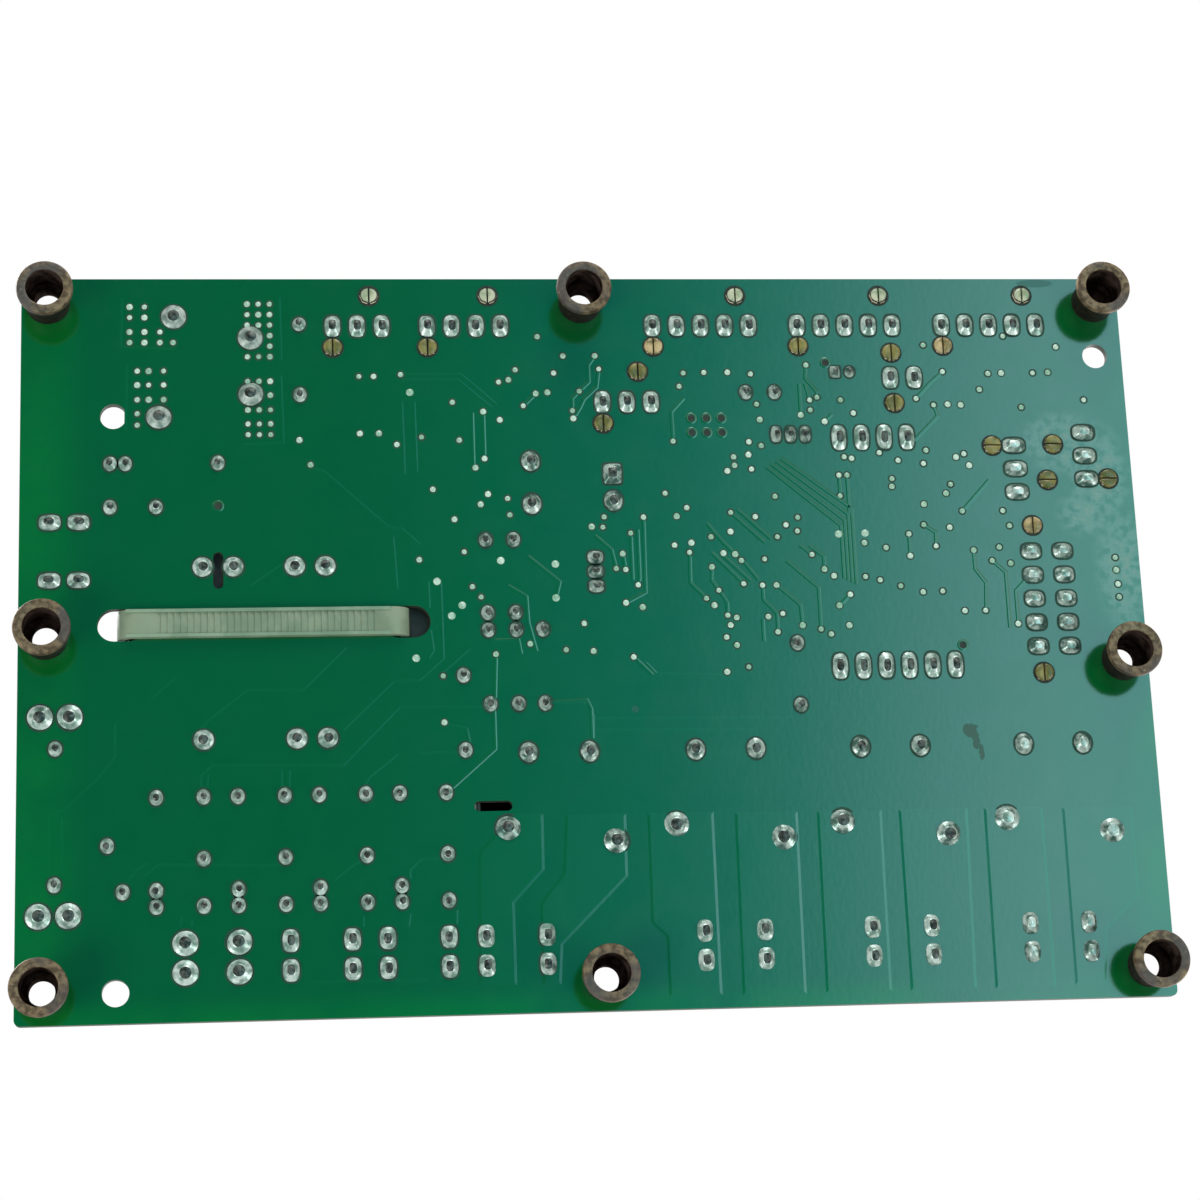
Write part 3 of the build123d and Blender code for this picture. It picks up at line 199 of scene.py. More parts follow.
# Marks on the solder side: centre and radii
RESIDUE_MARKS = [
    ((89, -27, 8), (7, 12, 4)),
    ((83, -33, 8), (9, 7, 4)),
    ((86, -20, 8), (6, 5, 4)),
    ((92, -10, 8), (6, 14, 4)),
]
SMUDGE = [
    ((63.3, 17.7, 8), (1.8, 1.5, 3)),
    ((64.1, 19.5, 8), (0.9, 1.9, 3)),
    ((64.9, 21.7, 8), (0.6, 2.0, 3)),
]
FAINT_MARKS = [
    ((66.6, 51.8, 8), (3.6, 3.2, 3)),
    ((71.0, 53.2, 8), (5.0, 2.0, 3)),
    ((50.8, 43.0, 8), (1.0, 1.0, 3)),
    ((6.6, 13.2, 8), (1.0, 1.0, 3)),
    ((80.5, -62.4, 8), (5.5, 1.2, 3)),
]

# Dark and light colour, roughness, metallic, fineness of the clouds and of the grain, depth of the grain
GRAINED = {
    "solder": ((0.16, 0.28, 0.225), (0.57, 0.7, 0.64), (0.2, 0.42), 0.38, 800, 2500, 0.03),
    "grey_solder": ((0.042, 0.11, 0.087), (0.44, 0.56, 0.5), (0.16, 0.38), 0.38, 700, 2500, 0.03),
    "dull_solder": ((0.16, 0.235, 0.2), (0.42, 0.5, 0.45), (0.42, 0.6), 0.35, 900, 2500, 0.04),
    "via_solder": ((0.22, 0.42, 0.29), (0.5, 0.68, 0.56), (0.25, 0.45), 0.1, 300, 3000),
    "lead_end": ((0.012, 0.016, 0.013), (0.1, 0.115, 0.1), (0.3, 0.5), 0.5, 1500, 4000),
    "tinned_metal": ((0.55, 0.55, 0.53), (0.75, 0.75, 0.73), (0.22, 0.4), 1.0, 500, 3000),
    "tie_nylon": ((0.155, 0.225, 0.145), (0.215, 0.285, 0.19), (0.35, 0.5), 0.0, 220, 1600, 0.02,
                  {"Subsurface Weight": 0.15, "Subsurface Radius": (0.002, 0.002, 0.0015)}),
    "tie_rail": ((0.15, 0.245, 0.16), (0.215, 0.32, 0.215), (0.3, 0.45), 0.0, 220, 1600, 0.02),
    # Painted shade on the tie's head, low beside the board
    "tie_grime": ((0.007, 0.012, 0.01), (0.016, 0.024, 0.02), (0.5, 0.7), 0.0, 400, 1600, 0.02),
    "peg_ivory": ((0.24, 0.32, 0.19), (0.5, 0.54, 0.38), (0.2, 0.4), 0.0, 500, 2500, 0.03),
    "peg_amber": ((0.14, 0.115, 0.035), (0.5, 0.4, 0.2), (0.15, 0.35), 0.0, 500, 2500, 0.03),
    "peg_olive": ((0.075, 0.085, 0.018), (0.22, 0.2, 0.055), (0.2, 0.4), 0.0, 500, 2500, 0.03),
    "header_nylon": ((0.6, 0.53, 0.36), (0.7, 0.63, 0.46), (0.38, 0.55), 0.0, 90, 1800),
    "black_moulding": ((0.01, 0.01, 0.011), (0.026, 0.026, 0.027), (0.45, 0.65), 0.0, 700, 3500),
    "relay_case": ((0.013, 0.013, 0.014), (0.022, 0.022, 0.023), (0.3, 0.42), 0.0, 200, 4000),
    "small_relay_case": ((0.55, 0.55, 0.51), (0.64, 0.64, 0.6), (0.35, 0.5), 0.0, 150, 3000),
    "epoxy_seal": ((0.05, 0.04, 0.03), (0.1, 0.08, 0.05), (0.25, 0.45), 0.0, 500, 2000),
    "enamelled_copper": ((0.32, 0.1, 0.035), (0.5, 0.2, 0.08), (0.2, 0.35), 0.9, 600, 3000),
    "ferrite": ((0.1, 0.13, 0.1), (0.16, 0.2, 0.16), (0.4, 0.6), 0.0, 300, 2500),
    "capacitor_sleeve": ((0.012, 0.014, 0.02), (0.02, 0.022, 0.03), (0.25, 0.35), 0.0, 150, 2500),
    "sleeve_band": ((0.42, 0.43, 0.44), (0.52, 0.53, 0.54), (0.3, 0.4), 0.0, 150, 2500),
    "can_metal": ((0.6, 0.6, 0.6), (0.72, 0.72, 0.71), (0.25, 0.38), 1.0, 250, 3000),
    "film_case": ((0.5, 0.36, 0.03), (0.6, 0.45, 0.06), (0.3, 0.42), 0.0, 200, 2500),
    "varistor_coating": ((0.015, 0.05, 0.2), (0.03, 0.08, 0.28), (0.2, 0.35), 0.0, 300, 900, 0.06),
    "resistor_coating": ((0.42, 0.29, 0.15), (0.52, 0.38, 0.22), (0.35, 0.5), 0.0, 500, 2500),
    "band_dark": ((0.1, 0.03, 0.015), (0.15, 0.05, 0.02), (0.4, 0.5), 0.0, 500, 2500),
    "band_grey": ((0.45, 0.45, 0.44), (0.55, 0.55, 0.54), (0.4, 0.5), 0.0, 500, 2500),
    "chip_ceramic": ((0.06, 0.045, 0.035), (0.12, 0.085, 0.06), (0.4, 0.6), 0.0, 900, 3000),
    "legend_ink": ((0.62, 0.63, 0.6), (0.72, 0.73, 0.7), (0.5, 0.65), 0.0, 800, 3000),
    "bore": ((0.012, 0.008, 0.006), (0.062, 0.043, 0.035), (0.6, 0.8), 0.0, 500, 2000, 0.03,
             {"Specular IOR Level": 0.0}),
    # Dark ring at pads and vias: the gap in the mask, with painted shade
    "mask_gap": ((0.002, 0.022, 0.007), (0.004, 0.035, 0.012), (0.4, 0.6), 0.0, 900, 3000),
    # Dark colour painted as shade in holes, gaps, slits and grooves
    "hollow": ((0.004, 0.01, 0.006), (0.01, 0.022, 0.012), (0.6, 0.8), 0.0, 800, 3000),
}


def fade(mat, coordinate, start, end):
    """0 before start and 1 past end."""
    return ramp(mat, coordinate, start * MM, end * MM)


def bare_margin(mat):
    """The uneven rim with no copper under the mask: the left, the rear, and the right's rear part."""
    where = axes(mat, place_of(mat))
    left = fade(mat, where["X"], -82, -92)
    right = times(mat, fade(mat, where["X"], 88, 95), fade(mat, where["Y"], 8, 20))
    rear = fade(mat, where["Y"], 58, 63)
    return times(mat, most(mat, left, right, rear), ramp(mat, noise(mat, 45), 0.25, 0.6))


def stained(mat, color, rough):
    """Colour and roughness with pale residue near the right edge, a dark smudge and faint marks."""
    patchy = ramp(mat, noise(mat, 650, 6.0), 0.34, 0.66)
    residue = times(mat, ramp(mat, any_of(mat, RESIDUE_MARKS), 0.0, 0.8), patchy)
    color = mix(mat, times(mat, residue, 0.38), color, RESIDUE)
    rough = most(mat, rough, times(mat, residue, 0.35))
    ragged = times(mat, any_of(mat, SMUDGE), ramp(mat, noise(mat, 1100, 4.0), 0.2, 0.7))
    faint = ramp(mat, any_of(mat, FAINT_MARKS), 0.25, 0.5)
    dark = ramp(mat, ragged, 0.08, 0.22)
    for stain, strength, dullness in ((faint, 0.6, 0.26), (dark, 0.95, 0.5)):
        color = mix(mat, times(mat, stain, strength), color, STAIN)
        rough = most(mat, rough, times(mat, stain, dullness))
    return color, rough


def solder_mask(name, copper, marked):
    """Glossy green mask: yellower over bare laminate, cloudy, woven; cut sides of glass epoxy darkened with
    painted shade.
    """
    mat, shader = principled(name, copper, 0.13, 0.0, {"Specular IOR Level": 1.0})
    color = mix(mat, bare_margin(mat), copper, MASK_LAMINATE)
    cloud = ramp(mat, noise(mat, 900, 6.0), 0.3, 0.75)
    color = mix(mat, times(mat, cloud, 0.22), color, MASK_TRACK)
    rough = spread(mat, noise(mat, 180), 0.09, 0.17)
    if marked:
        color, rough = stained(mat, color, rough)
    facing = axes(mat, add_node(mat, "NewGeometry", {}).outputs["Normal"])
    # Upright faces, the board's sides and its slots' walls, are darkened: painted shade
    upright = arithmetic(mat, "LESS_THAN", arithmetic(mat, "ABSOLUTE", facing["Z"], 0), 0.4)
    color = mix(mat, upright, color, SHADED_LAMINATE_EDGE)
    rough = most(mat, rough, times(mat, upright, 0.6))
    feed(mat, shader, {"Base Color": color, "Roughness": rough})
    weave = [noise(mat, 1400, 2.0, stretch) for stretch in ((1, 0.4, 1), (0.4, 1, 1))]
    bump(mat, shader, arithmetic(mat, "ADD", *weave), 0.4, 0.01)


def tarnished_brass(name, dark, light, spot, dull):
    """Turned brass gone brown, greyer in places, with dark patches and a few rubbed spots."""
    mat, shader = principled(name, dark, 0.4, 0.7)
    cloud = ramp(mat, noise(mat, 1000, 6.0), 0.36, 0.64)
    color = mix(mat, cloud, dark, light)
    grey = ramp(mat, noise(mat, 110, 2.0), 0.45, 0.6)
    color = mix(mat, times(mat, grey, 0.75), color, dull)
    color = mix(mat, ramp(mat, noise(mat, 1500, 2.0), 0.66, 0.76), color, spot)
    turning = noise(mat, 900, 2.0, (0.08, 0.08, 3))
    feed(mat, shader, {"Base Color": color, "Roughness": ramp(mat, turning, -0.8, 1.4)})
    bump(mat, shader, cloud, 0.35, 0.05)


def clear_glass():
    more = {"Transmission Weight": 1.0, "IOR": 1.45}
    mat, shader = principled("clear_glass", (0.95, 0.98, 0.97), 0.03, 0.0, more)
    bump(mat, shader, noise(mat, 500), 0.05, 0.01)


def materials():
    solder_mask("solder_mask", MASK_COPPER, True)
    solder_mask("mask_over_tracks", MASK_TRACK, False)
    tarnished_brass("tarnished_brass", (0.085, 0.058, 0.034), (0.235, 0.17, 0.1),
                    (0.36, 0.31, 0.21), (0.085, 0.076, 0.075))
    # The same brass darkened: painted shade for the standoffs' necks
    tarnished_brass("dark_brass", (0.006, 0.004, 0.0025), (0.028, 0.019, 0.011),
                    (0.05, 0.038, 0.022), (0.016, 0.014, 0.012))
    for name, look in GRAINED.items():
        grained(name, *look)
    striped("laminations", (0.035, 0.035, 0.037), (0.16, 0.155, 0.15), "Z", 0.5, 0.42, 0.7, 0.08)
    striped("winding_tape", (0.5, 0.34, 0.04), (0.66, 0.49, 0.09), "Y", 3.2, 0.28, 0.0, 0.04)
    clear_glass()


# ---- shapes
WELD = 1e-6
# Of a corner in metres: one that is taken from a CAD face stays exactly in its plane
DECIMALS = 8
FLAT_ANGLE = 0.02
SHARP_ANGLE = 0.5
# Turns of a form's own Z to another axis
TO_X = Matrix.Rotation(math.pi / 2, 4, "Y")
TO_Y = Matrix.Rotation(-math.pi / 2, 4, "X")
TO_GROUND = Matrix.Rotation(math.pi, 4, "X")


def left_of(step):
    """A step turned a quarter to the left."""
    return Vector((-step.y, step.x))


def drawn_in(outline, distance):
    """Outline of (x, y) points moved inwards by a distance."""
    points = [Vector(p) for p in outline]
    pairs = list(zip(points[-1:] + points[:-1], points))
    area = sum(a.x * b.y - b.x * a.y for a, b in pairs)
    sides = [left_of((b - a).normalized()) for a, b in pairs]
    return [point + (a + b) * math.copysign(distance, area) / (1 + a.dot(b))
            for point, a, b in zip(points, sides, sides[1:] + sides[:1])]


def rectangle(x0, y0, x1, y1):
    return [(x0, y0), (x1, y0), (x1, y1), (x0, y1)]


class Form:
    """Vertices and faces of one piece, with a material number for each face."""

    def __init__(self):
        self.verts = []
        self.faces = []
        self.paint = []

    def add(self, verts, faces, paint=0):
        first = len(self.verts)
        self.verts += [Vector(v) for v in verts]
        self.faces += [[first + i for i in face] for face in faces]
        self.paint += [paint] * len(faces)

    def lathe(self, profile, place, segments=24, stretch=(1, 1), paint=0, square=1.0):
        """Turned shape of (radius, height) points, squared for square below 1; paint may be a list,
        with a material number for each step of the profile."""
        angles = [2 * math.pi * (i + 0.5) / segments for i in range(segments)]
        around = [[math.copysign(abs(t) ** square, t) for t in (math.cos(a), math.sin(a))] for a in angles]
        rings = []
        verts = []
        for radius, height in profile:
            count = segments if radius > 0 else 1
            rings.append(range(len(verts), len(verts) + count))
            for x, y in around[:count]:
                verts.append(place @ Vector((radius * stretch[0] * x, radius * stretch[1] * y, height)))
        for step, (a, b) in enumerate(zip(rings, rings[1:])):
            loops = []
            for i in range(segments):
                j = (i + 1) % segments
                corners = [a[i % len(a)], a[j % len(a)], b[j % len(b)], b[i % len(b)]]
                loops.append(list(dict.fromkeys(corners)))
            self.faces += [[len(self.verts) + i for i in loop] for loop in loops]
            self.paint += [paint if isinstance(paint, int) else paint[step]] * segments
        self.verts += verts

    def loft(self, loops, paint=0, closed=False):
        """Skin through loops of as many points each: a ring if closed, or with a cap at both ends."""
        count = len(loops[0])
        total = count * len(loops)
        faces = []
        for k in range(0, total if closed else total - count, count):
            far = (k + count) % total
            faces += [[k + i, k + (i + 1) % count, far + (i + 1) % count, far + i] for i in range(count)]
        if not closed:
            faces += [list(range(count)), list(range(total - count, total))]
        self.add([point for loop in loops for point in loop], faces, paint)

    def prism(self, outline, low, high, inset=0.0, paint=0):
        """Outline of (x, y) points between two levels, drawn in by inset at the far level."""
        far = drawn_in(outline, inset) if inset else outline
        self.loft([[(x, y, low) for x, y in outline], [(x, y, high) for x, y in far]], paint)

    def block(self, low, high, paint=0):
        self.prism(rectangle(low[0], low[1], high[0], high[1]), low[2], high[2], paint=paint)

    def tube(self, points, radius, sides=8, paint=0, closed=False):
        """Round wire through points."""
        points = [Vector(p) for p in points]
        angles = [2 * math.pi * k / sides for k in range(sides)]
        rings = []
        normal = None
        for i, point in enumerate(points):
            before = points[i - 1] if i or closed else point
            after = points[(i + 1) % len(points)] if point is not points[-1] or closed else point
            along = (after - before).normalized()
            normal = along.orthogonal().normalized() if normal is None else normal
            normal = (normal - along * normal.dot(along)).normalized()
            other = along.cross(normal)
            rings.append([point + radius * (math.cos(a) * normal + math.sin(a) * other) for a in angles])
        self.loft(rings, paint, closed)

    def ribbon(self, points, width, height, slope):
        """Flat raised band along a line on the solder face, with sides that slope over a width."""
        line = [Vector(p) for p in points]
        steps = [(b - a).normalized() for a, b in zip(line, line[1:])]
        loops = []
        for point, into, out in zip(line, steps[:1] + steps, steps + steps[-1:]):
            across = left_of((into + out).normalized())
            half = width / 2 / max(0.5, across.dot(left_of(into)))
            flat = half - slope
            section = ((half, 0), (flat, height), (-flat, height), (-half, 0))
            loops.append([(*(point + across * offset), SOLDER_Z - level) for offset, level in section])
        self.loft(loops)

    def piece(self, name, looks, slot=None, smooth=35, node=None):
        mesh = bpy.data.meshes.new(name)
        mesh.from_pydata([[round(c * MM, DECIMALS) for c in v] for v in self.verts], [], self.faces)
        mesh.polygons.foreach_set("material_index", self.paint)
        finish_piece(mesh, looks, smooth, node)

    def dress(self, node, looks, slot=None, smooth=30):
        """Piece that stands for a CAD node."""
        self.piece(node + "_dressed", looks, slot, smooth, node)


def show(name, data):
    """New object in the scene."""
    made = bpy.data.objects.new(name, data)
    bpy.context.scene.collection.objects.link(made)
    return made


def finish_piece(mesh, looks, smooth=35, node=None):
    """Object on the root body: outward faces, smooth shading up to an angle, and the named looks."""
    made = bmesh.new()
    made.from_mesh(mesh)
    bmesh.ops.recalc_face_normals(made, faces=made.faces)
    made.to_mesh(mesh)
    made.free()
    looks = looks.split()
    for look in looks:
        mesh.materials.append(LOOKS[look])
    mesh.polygons.foreach_set("use_smooth", [True] * len(mesh.polygons))
    mesh.set_sharp_from_angle(angle=math.radians(smooth))
    piece = show(mesh.name, mesh)
    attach(piece, "root")
    if node:
        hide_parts(node)


def welded(node):
    """Working copy of a CAD node's mesh with its corners joined, in metres."""
    made = bmesh.new()
    made.from_mesh(NODES[node].data)
    bmesh.ops.remove_doubles(made, verts=made.verts, dist=WELD)
    return made


def eased(node, looks, width, paint=lambda centre: 0):
    """Copy of a CAD node with broken edges that stands for it; paint picks a face's material."""
    made = welded(node)
    bmesh.ops.dissolve_limit(made, angle_limit=FLAT_ANGLE, verts=made.verts, edges=made.edges)
    sharp = [edge for edge in made.edges if edge.is_manifold and edge.calc_face_angle() > SHARP_ANGLE]
    bmesh.ops.bevel(made, geom=sharp, offset=width * MM, segments=2, profile=0.5,
                    affect="EDGES", clamp_overlap=True)
    for face in made.faces:
        face.material_index = paint(face.calc_center_median() / MM)
    mesh = bpy.data.meshes.new(node + "_dressed")
    made.to_mesh(mesh)
    made.free()
    finish_piece(mesh, looks, node=node)


def solids(node):
    """Lowest and highest corner of each separate solid of a CAD node, from left to right."""
    made = welded(node)
    waiting = set(made.verts)
    found = []
    while waiting:
        island = [waiting.pop()]
        for vert in island:
            fresh = {edge.other_vert(vert) for edge in vert.link_edges} & waiting
            waiting -= fresh
            island += fresh
        found.append([Vector(pick(v.co[k] for v in island) for k in range(3)) for pick in (min, max)])
    made.free()
    found.sort(key=lambda pair: (round(pair[0].x, 5), round(pair[0].y, 5)))
    return [[corner / MM for corner in pair] for pair in found]


# ---- solder side
# Solder fillet: share of the pad's radius, share of the joint's height; then the lead's end in it
FILLET = [(1.0, 0.0), (0.99, 0.09), (0.9, 0.22), (0.78, 0.38), (0.66, 0.58), (0.55, 0.8), (0.47, 0.92)]
LEAD_TIP = [(0.4, 0.94), (0.3, 0.99), (0.14, 1.08), (0.0, 1.1)]
JOINT_LOOKS = "solder lead_end mask_gap dull_solder grey_solder"
BRIGHT, TIP, RING, DULL, GREY = range(5)
ROUND, OBLONG, SQUARE = 1.0, 0.7, 0.35
OCTAGON_SHARE = math.cos(math.pi / 8)
SQUARE_PADS = [(9.7, -42.7), (81.0, -24.1), (4.4, -27.9), (43.9, -46.1)]
BARE_PAD = (-62.2, -22.8)
PAD_REACH = 1.5
RIGHT_PART = (62, -50)
CHOKE_PART = (-50, -30)
CHOKE_PAD = 1.75
REAR_ROWS_Y = 48
LEFT_PART_X = -20


def near(point, place):
    return (Vector((point.x, point.y)) - Vector(place)).length < PAD_REACH


def under(x, y, lean=Matrix()):
    """Place of a shape that stands on the solder face."""
    return Matrix.Translation((x, y, SOLDER_Z)) @ lean @ TO_GROUND


def tilt(axis):
    """Small random lean about an axis."""
    return Matrix.Rotation(math.radians(DICE.uniform(-6, 6)), 4, axis)


def joint_paint(middle, half, at_header):
    """Materials of a joint's cone and of its lead's end, by where it is."""
    if middle.x < CHOKE_PART[0] and middle.y < CHOKE_PART[1] and half.x > CHOKE_PAD:
        return DULL, TIP
    if middle.x > RIGHT_PART[0] and middle.y > RIGHT_PART[1]:
        return GREY, BRIGHT
    if at_header or middle.y > REAR_ROWS_Y or middle.x < LEFT_PART_X:
        return BRIGHT, TIP
    return GREY, TIP


def solder_joint(form, low, high, at_header):
    """Wetted cone over one CAD joint, a little different each time, in a dark ring: the gap in the mask,
    with painted shade round the pad.
    """
    middle = (low + high) / 2
    if near(middle, BARE_PAD):
        return
    half = (high - low) / 2 / OCTAGON_SHARE
    height = (high.z - low.z) * DICE.uniform(0.86, 1.0)
    square = OBLONG if max(half.x, half.y) > 1.25 * min(half.x, half.y) else ROUND
    if any(near(middle, place) for place in SQUARE_PADS):
        square = SQUARE
    lean = tilt("X") @ tilt("Y")
    steps = [(r, z * height) for r, z in FILLET + LEAD_TIP]
    cone, tip = joint_paint(middle, half, at_header)
    paint = [cone] * (len(FILLET) - 1) + [tip] * len(LEAD_TIP)
    form.lathe(steps, under(middle.x, middle.y, lean), 32, (half.x, half.y), paint, square)
    # Dark ring round the pad: the mask's gap, with painted shade at its edge
    thin, gap = 0.015, 0.3
    form.lathe([(1, 0), (1, thin), (0, thin)], under(middle.x, middle.y), 32,
               (half.x + gap, half.y + gap), RING, square)


def solder_joints():
    for node in ("solder_headers", "solder_power_parts", "solder_leaded_parts"):
        form = Form()
        for low, high in solids(node):
            solder_joint(form, low, high, node == "solder_headers")
        form.dress(node, JOINT_LOOKS, smooth=40)


# Vias filled with solder
VIA_GRIDS = [
    ((-76.9, -74.4), (-58.2, -56.3)), ((-76.9, -74.4, -71.8), (-53.7,)),
    ((-76.9, -74.4, -71.8, -69.6), (-51.8,)), ((-75.6, -73.7, -71.2), (-46.7, -44.2, -41.6)),
    ((-75.6,), (-39.1, -37.1)), ((-57.1, -55.2, -53.3), (-58.7, -56.8, -54.9, -49.2)),
    ((-53.3,), (-53, -51.1, -42.3)), ((-57.1, -55.2, -53.3), (-44.8, -39.7, -37.2, -35.3)),
]
VIAS = [
    (-48.5, -34.3), (-38.3, -45.6), (-35.8, -45.6), (-31.2, -45.9), (-22.5, -40.9), (-17.3, -39.2),
    (-14.5, -37.7), (-14.5, -44.5), (-12.8, -44.9), (-11.6, -46.7), (-5, -46.1), (-3.3, -49.2),
    (-7.6, -52.7), (-10.4, -40.2), (-8.2, -42.4), (-6.2, -42.6), (-0.7, -42.8), (-2, -39.3), (-1.9, -37.9),
    (-38.3, -35.4), (-35.1, -35.4), (-32.1, -33.4), (-27.9, -34.7), (-21.5, -34.1), (2.2, -49.2),
    (2.8, -46.8), (17.4, -46), (21, -46.1), (25.1, -46.1), (29.1, -45.8), (16.6, -43.6), (38.9, -47.4),
    (29.9, -40.3), (30.3, -37.5), (15.1, -33.7), (37.5, -38.3), (39.2, -41), (40.5, -41.5), (39.2, -39.2),
    (44.6, -41), (41.6, -37.1), (46.7, -38.6), (28.2, -33.5), (30.3, -32.8), (59.8, -51), (74.1, -52.6),
    (83.4, -50.6), (62.9, -46.1), (57.9, -41.2), (70.9, -45.7), (73.3, -45.8), (78.9, -45.8), (81.6, -45.9),
    (69.2, -42.8), (60.9, -40), (63.4, -40.1), (65.7, -40), (76.4, -39.5), (87.6, -40.8), (-46.7, -29.9),
    (-17.3, -30.8), (-18.9, -29.2), (-26.2, -25.4), (-18.2, -22.7), (-16.9, -24.5), (-13.6, -23.7),
    (-13.3, -20.8), (-22.7, -20.1), (-21.2, -14.4), (-28.8, -13.1), (-20, -8.3), (-18.6, -6.5),
    (-1.4, -1.7), (-16.4, 3.4), (-10.6, 1.7), (-4.6, 2.8), (0, 3.1), (-25.3, 7), (-25.3, 14.9),
    (2.7, -20.3), (0.5, -18.6), (2.4, -18.5), (9.4, -20.2), (7.1, -17.4), (5.6, -13.8), (4.4, -11.2),
    (6, -11), (8, -8.3), (5.8, -5.2), (8.6, -4.4), (13.3, -24.4), (16.9, -21.8), (15.1, -20.3),
    (14.5, -15.2), (17.4, -15.6), (17, -13.9), (20.8, -16.6), (22.8, -13.7), (24.8, -13.5), (25.8, -12.4),
    (24.2, -17.5), (24.4, -20.9), (28.6, -20.1), (32.2, -23.7), (32.2, -16.5), (33.8, -18.6), (35.7, -17.5),
    (35.9, -19.9), (24.2, -28.3), (25.4, -30.8), (25.5, -29.3), (28, -31.2), (28.4, -28.6), (29.8, -12.6),
    (20.7, -11.3), (21.7, -7.2), (26, -8.3), (19.5, -5.8), (20.8, -4.6), (23, -2.8), (24.5, -2.4),
    (23.4, -1.1), (29.2, -8), (31.6, -8), (29.9, -2.5), (32.4, -3), (31.4, 0.2), (35.7, -0.9), (38.8, -0.2),
    (40.5, 0.7), (38, -13.3), (40, -10.7), (41.6, -9.5), (43.5, -27.4), (44.9, -27.4), (43.5, -23.7),
    (47.2, -15.3), (47, -9.3), (44.2, -6.2), (42.2, -4.3), (43.7, -0.8), (44.6, -30.7), (45.9, -30.4),
    (6.7, 4.2), (22.6, 1), (24.3, 2.4), (22.4, 7), (26.1, 6.2), (50.8, -31.4), (54, -30), (58.4, -29.4),
    (59, -31.8), (64.2, -30.5), (65.6, -31.1), (66.4, -29), (52.7, -26.7), (52.6, -25.3), (62.9, -25.6),
    (62, -24), (58, -22.1), (64.6, -20.8), (57.7, -18.4), (62.2, -17.9), (55, -16.8), (50.9, -14.4),
    (55, -12.9), (59.6, -14.6), (66.1, -13.8), (70.6, -14.3), (69.2, -11.9), (72.4, -11.4), (71.7, -20.8),
    (72.7, -18.1), (49.5, -8.7), (53, -7.6), (56.8, -6.5), (60.2, -6.6), (63.8, -3.1), (67.4, -3.1),
    (72.9, -0.7), (90.8, -12.2), (90.8, -10), (90.9, -7.5), (90.9, -5.2),
]
WIDE_VIAS = [
    (-15.1, -12.8), (-5.9, -12.1), (-25.9, -9.3), (-21.8, -5.1), (-23.6, -3.3), (-6, -6.2), (-29.7, 3.9),
    (42.8, -16.9), (47.4, -17), (-29.7, -42.7),
]
OPEN_RINGS = [(18.4, -37.8), (18.4, -35.2), (21.0, -37.8), (21.0, -35.2), (23.6, -37.8), (23.6, -35.2),
              (-62.2, -22.8), (63.0, 2.9), (42.3, -47.8)]
OPEN_RING = [(1.0, 0), (0.85, 0.05), (0.65, 0.05), (0.5, 0.01), (0.0, 0.01)]
VIA_RIM = [(0.74, 0), (0.7, 0.02), (0.4, 0.02)]
DOME = [(1.0, 0.0), (0.97, 0.25), (0.82, 0.55), (0.5, 0.85), (0.0, 1.0)]


def dome(form, x, y, radius, height):
    form.lathe([(r * radius, z * height) for r, z in DOME], under(x, y), 14)


def vias():
    form = Form()
    rims = Form()
    for x, y in VIAS + [(x, y) for xs, ys in VIA_GRIDS for x in xs for y in ys]:
        dome(form, x, y, DICE.uniform(0.44, 0.56), DICE.uniform(0.16, 0.26))
        # Dark ring round each via: the mask's gap, with painted shade at its rim
        rims.lathe(VIA_RIM, under(x, y), 14)
    for x, y in WIDE_VIAS:
        dome(form, x, y, 0.66, 0.28)
    form.piece("vias", "via_solder", "solder", 50)
    rims.piece("via_rims", "mask_gap", "board", 20)


def open_rings():
    form = Form()
    for x, y in OPEN_RINGS:
        # The ring's middle is a dark disc: painted shade in the empty hole
        form.lathe(OPEN_RING, under(x, y), 18, paint=[0, 0, 1, 1])
    form.piece("open_pads", "mask_over_tracks hollow", "board", 30)


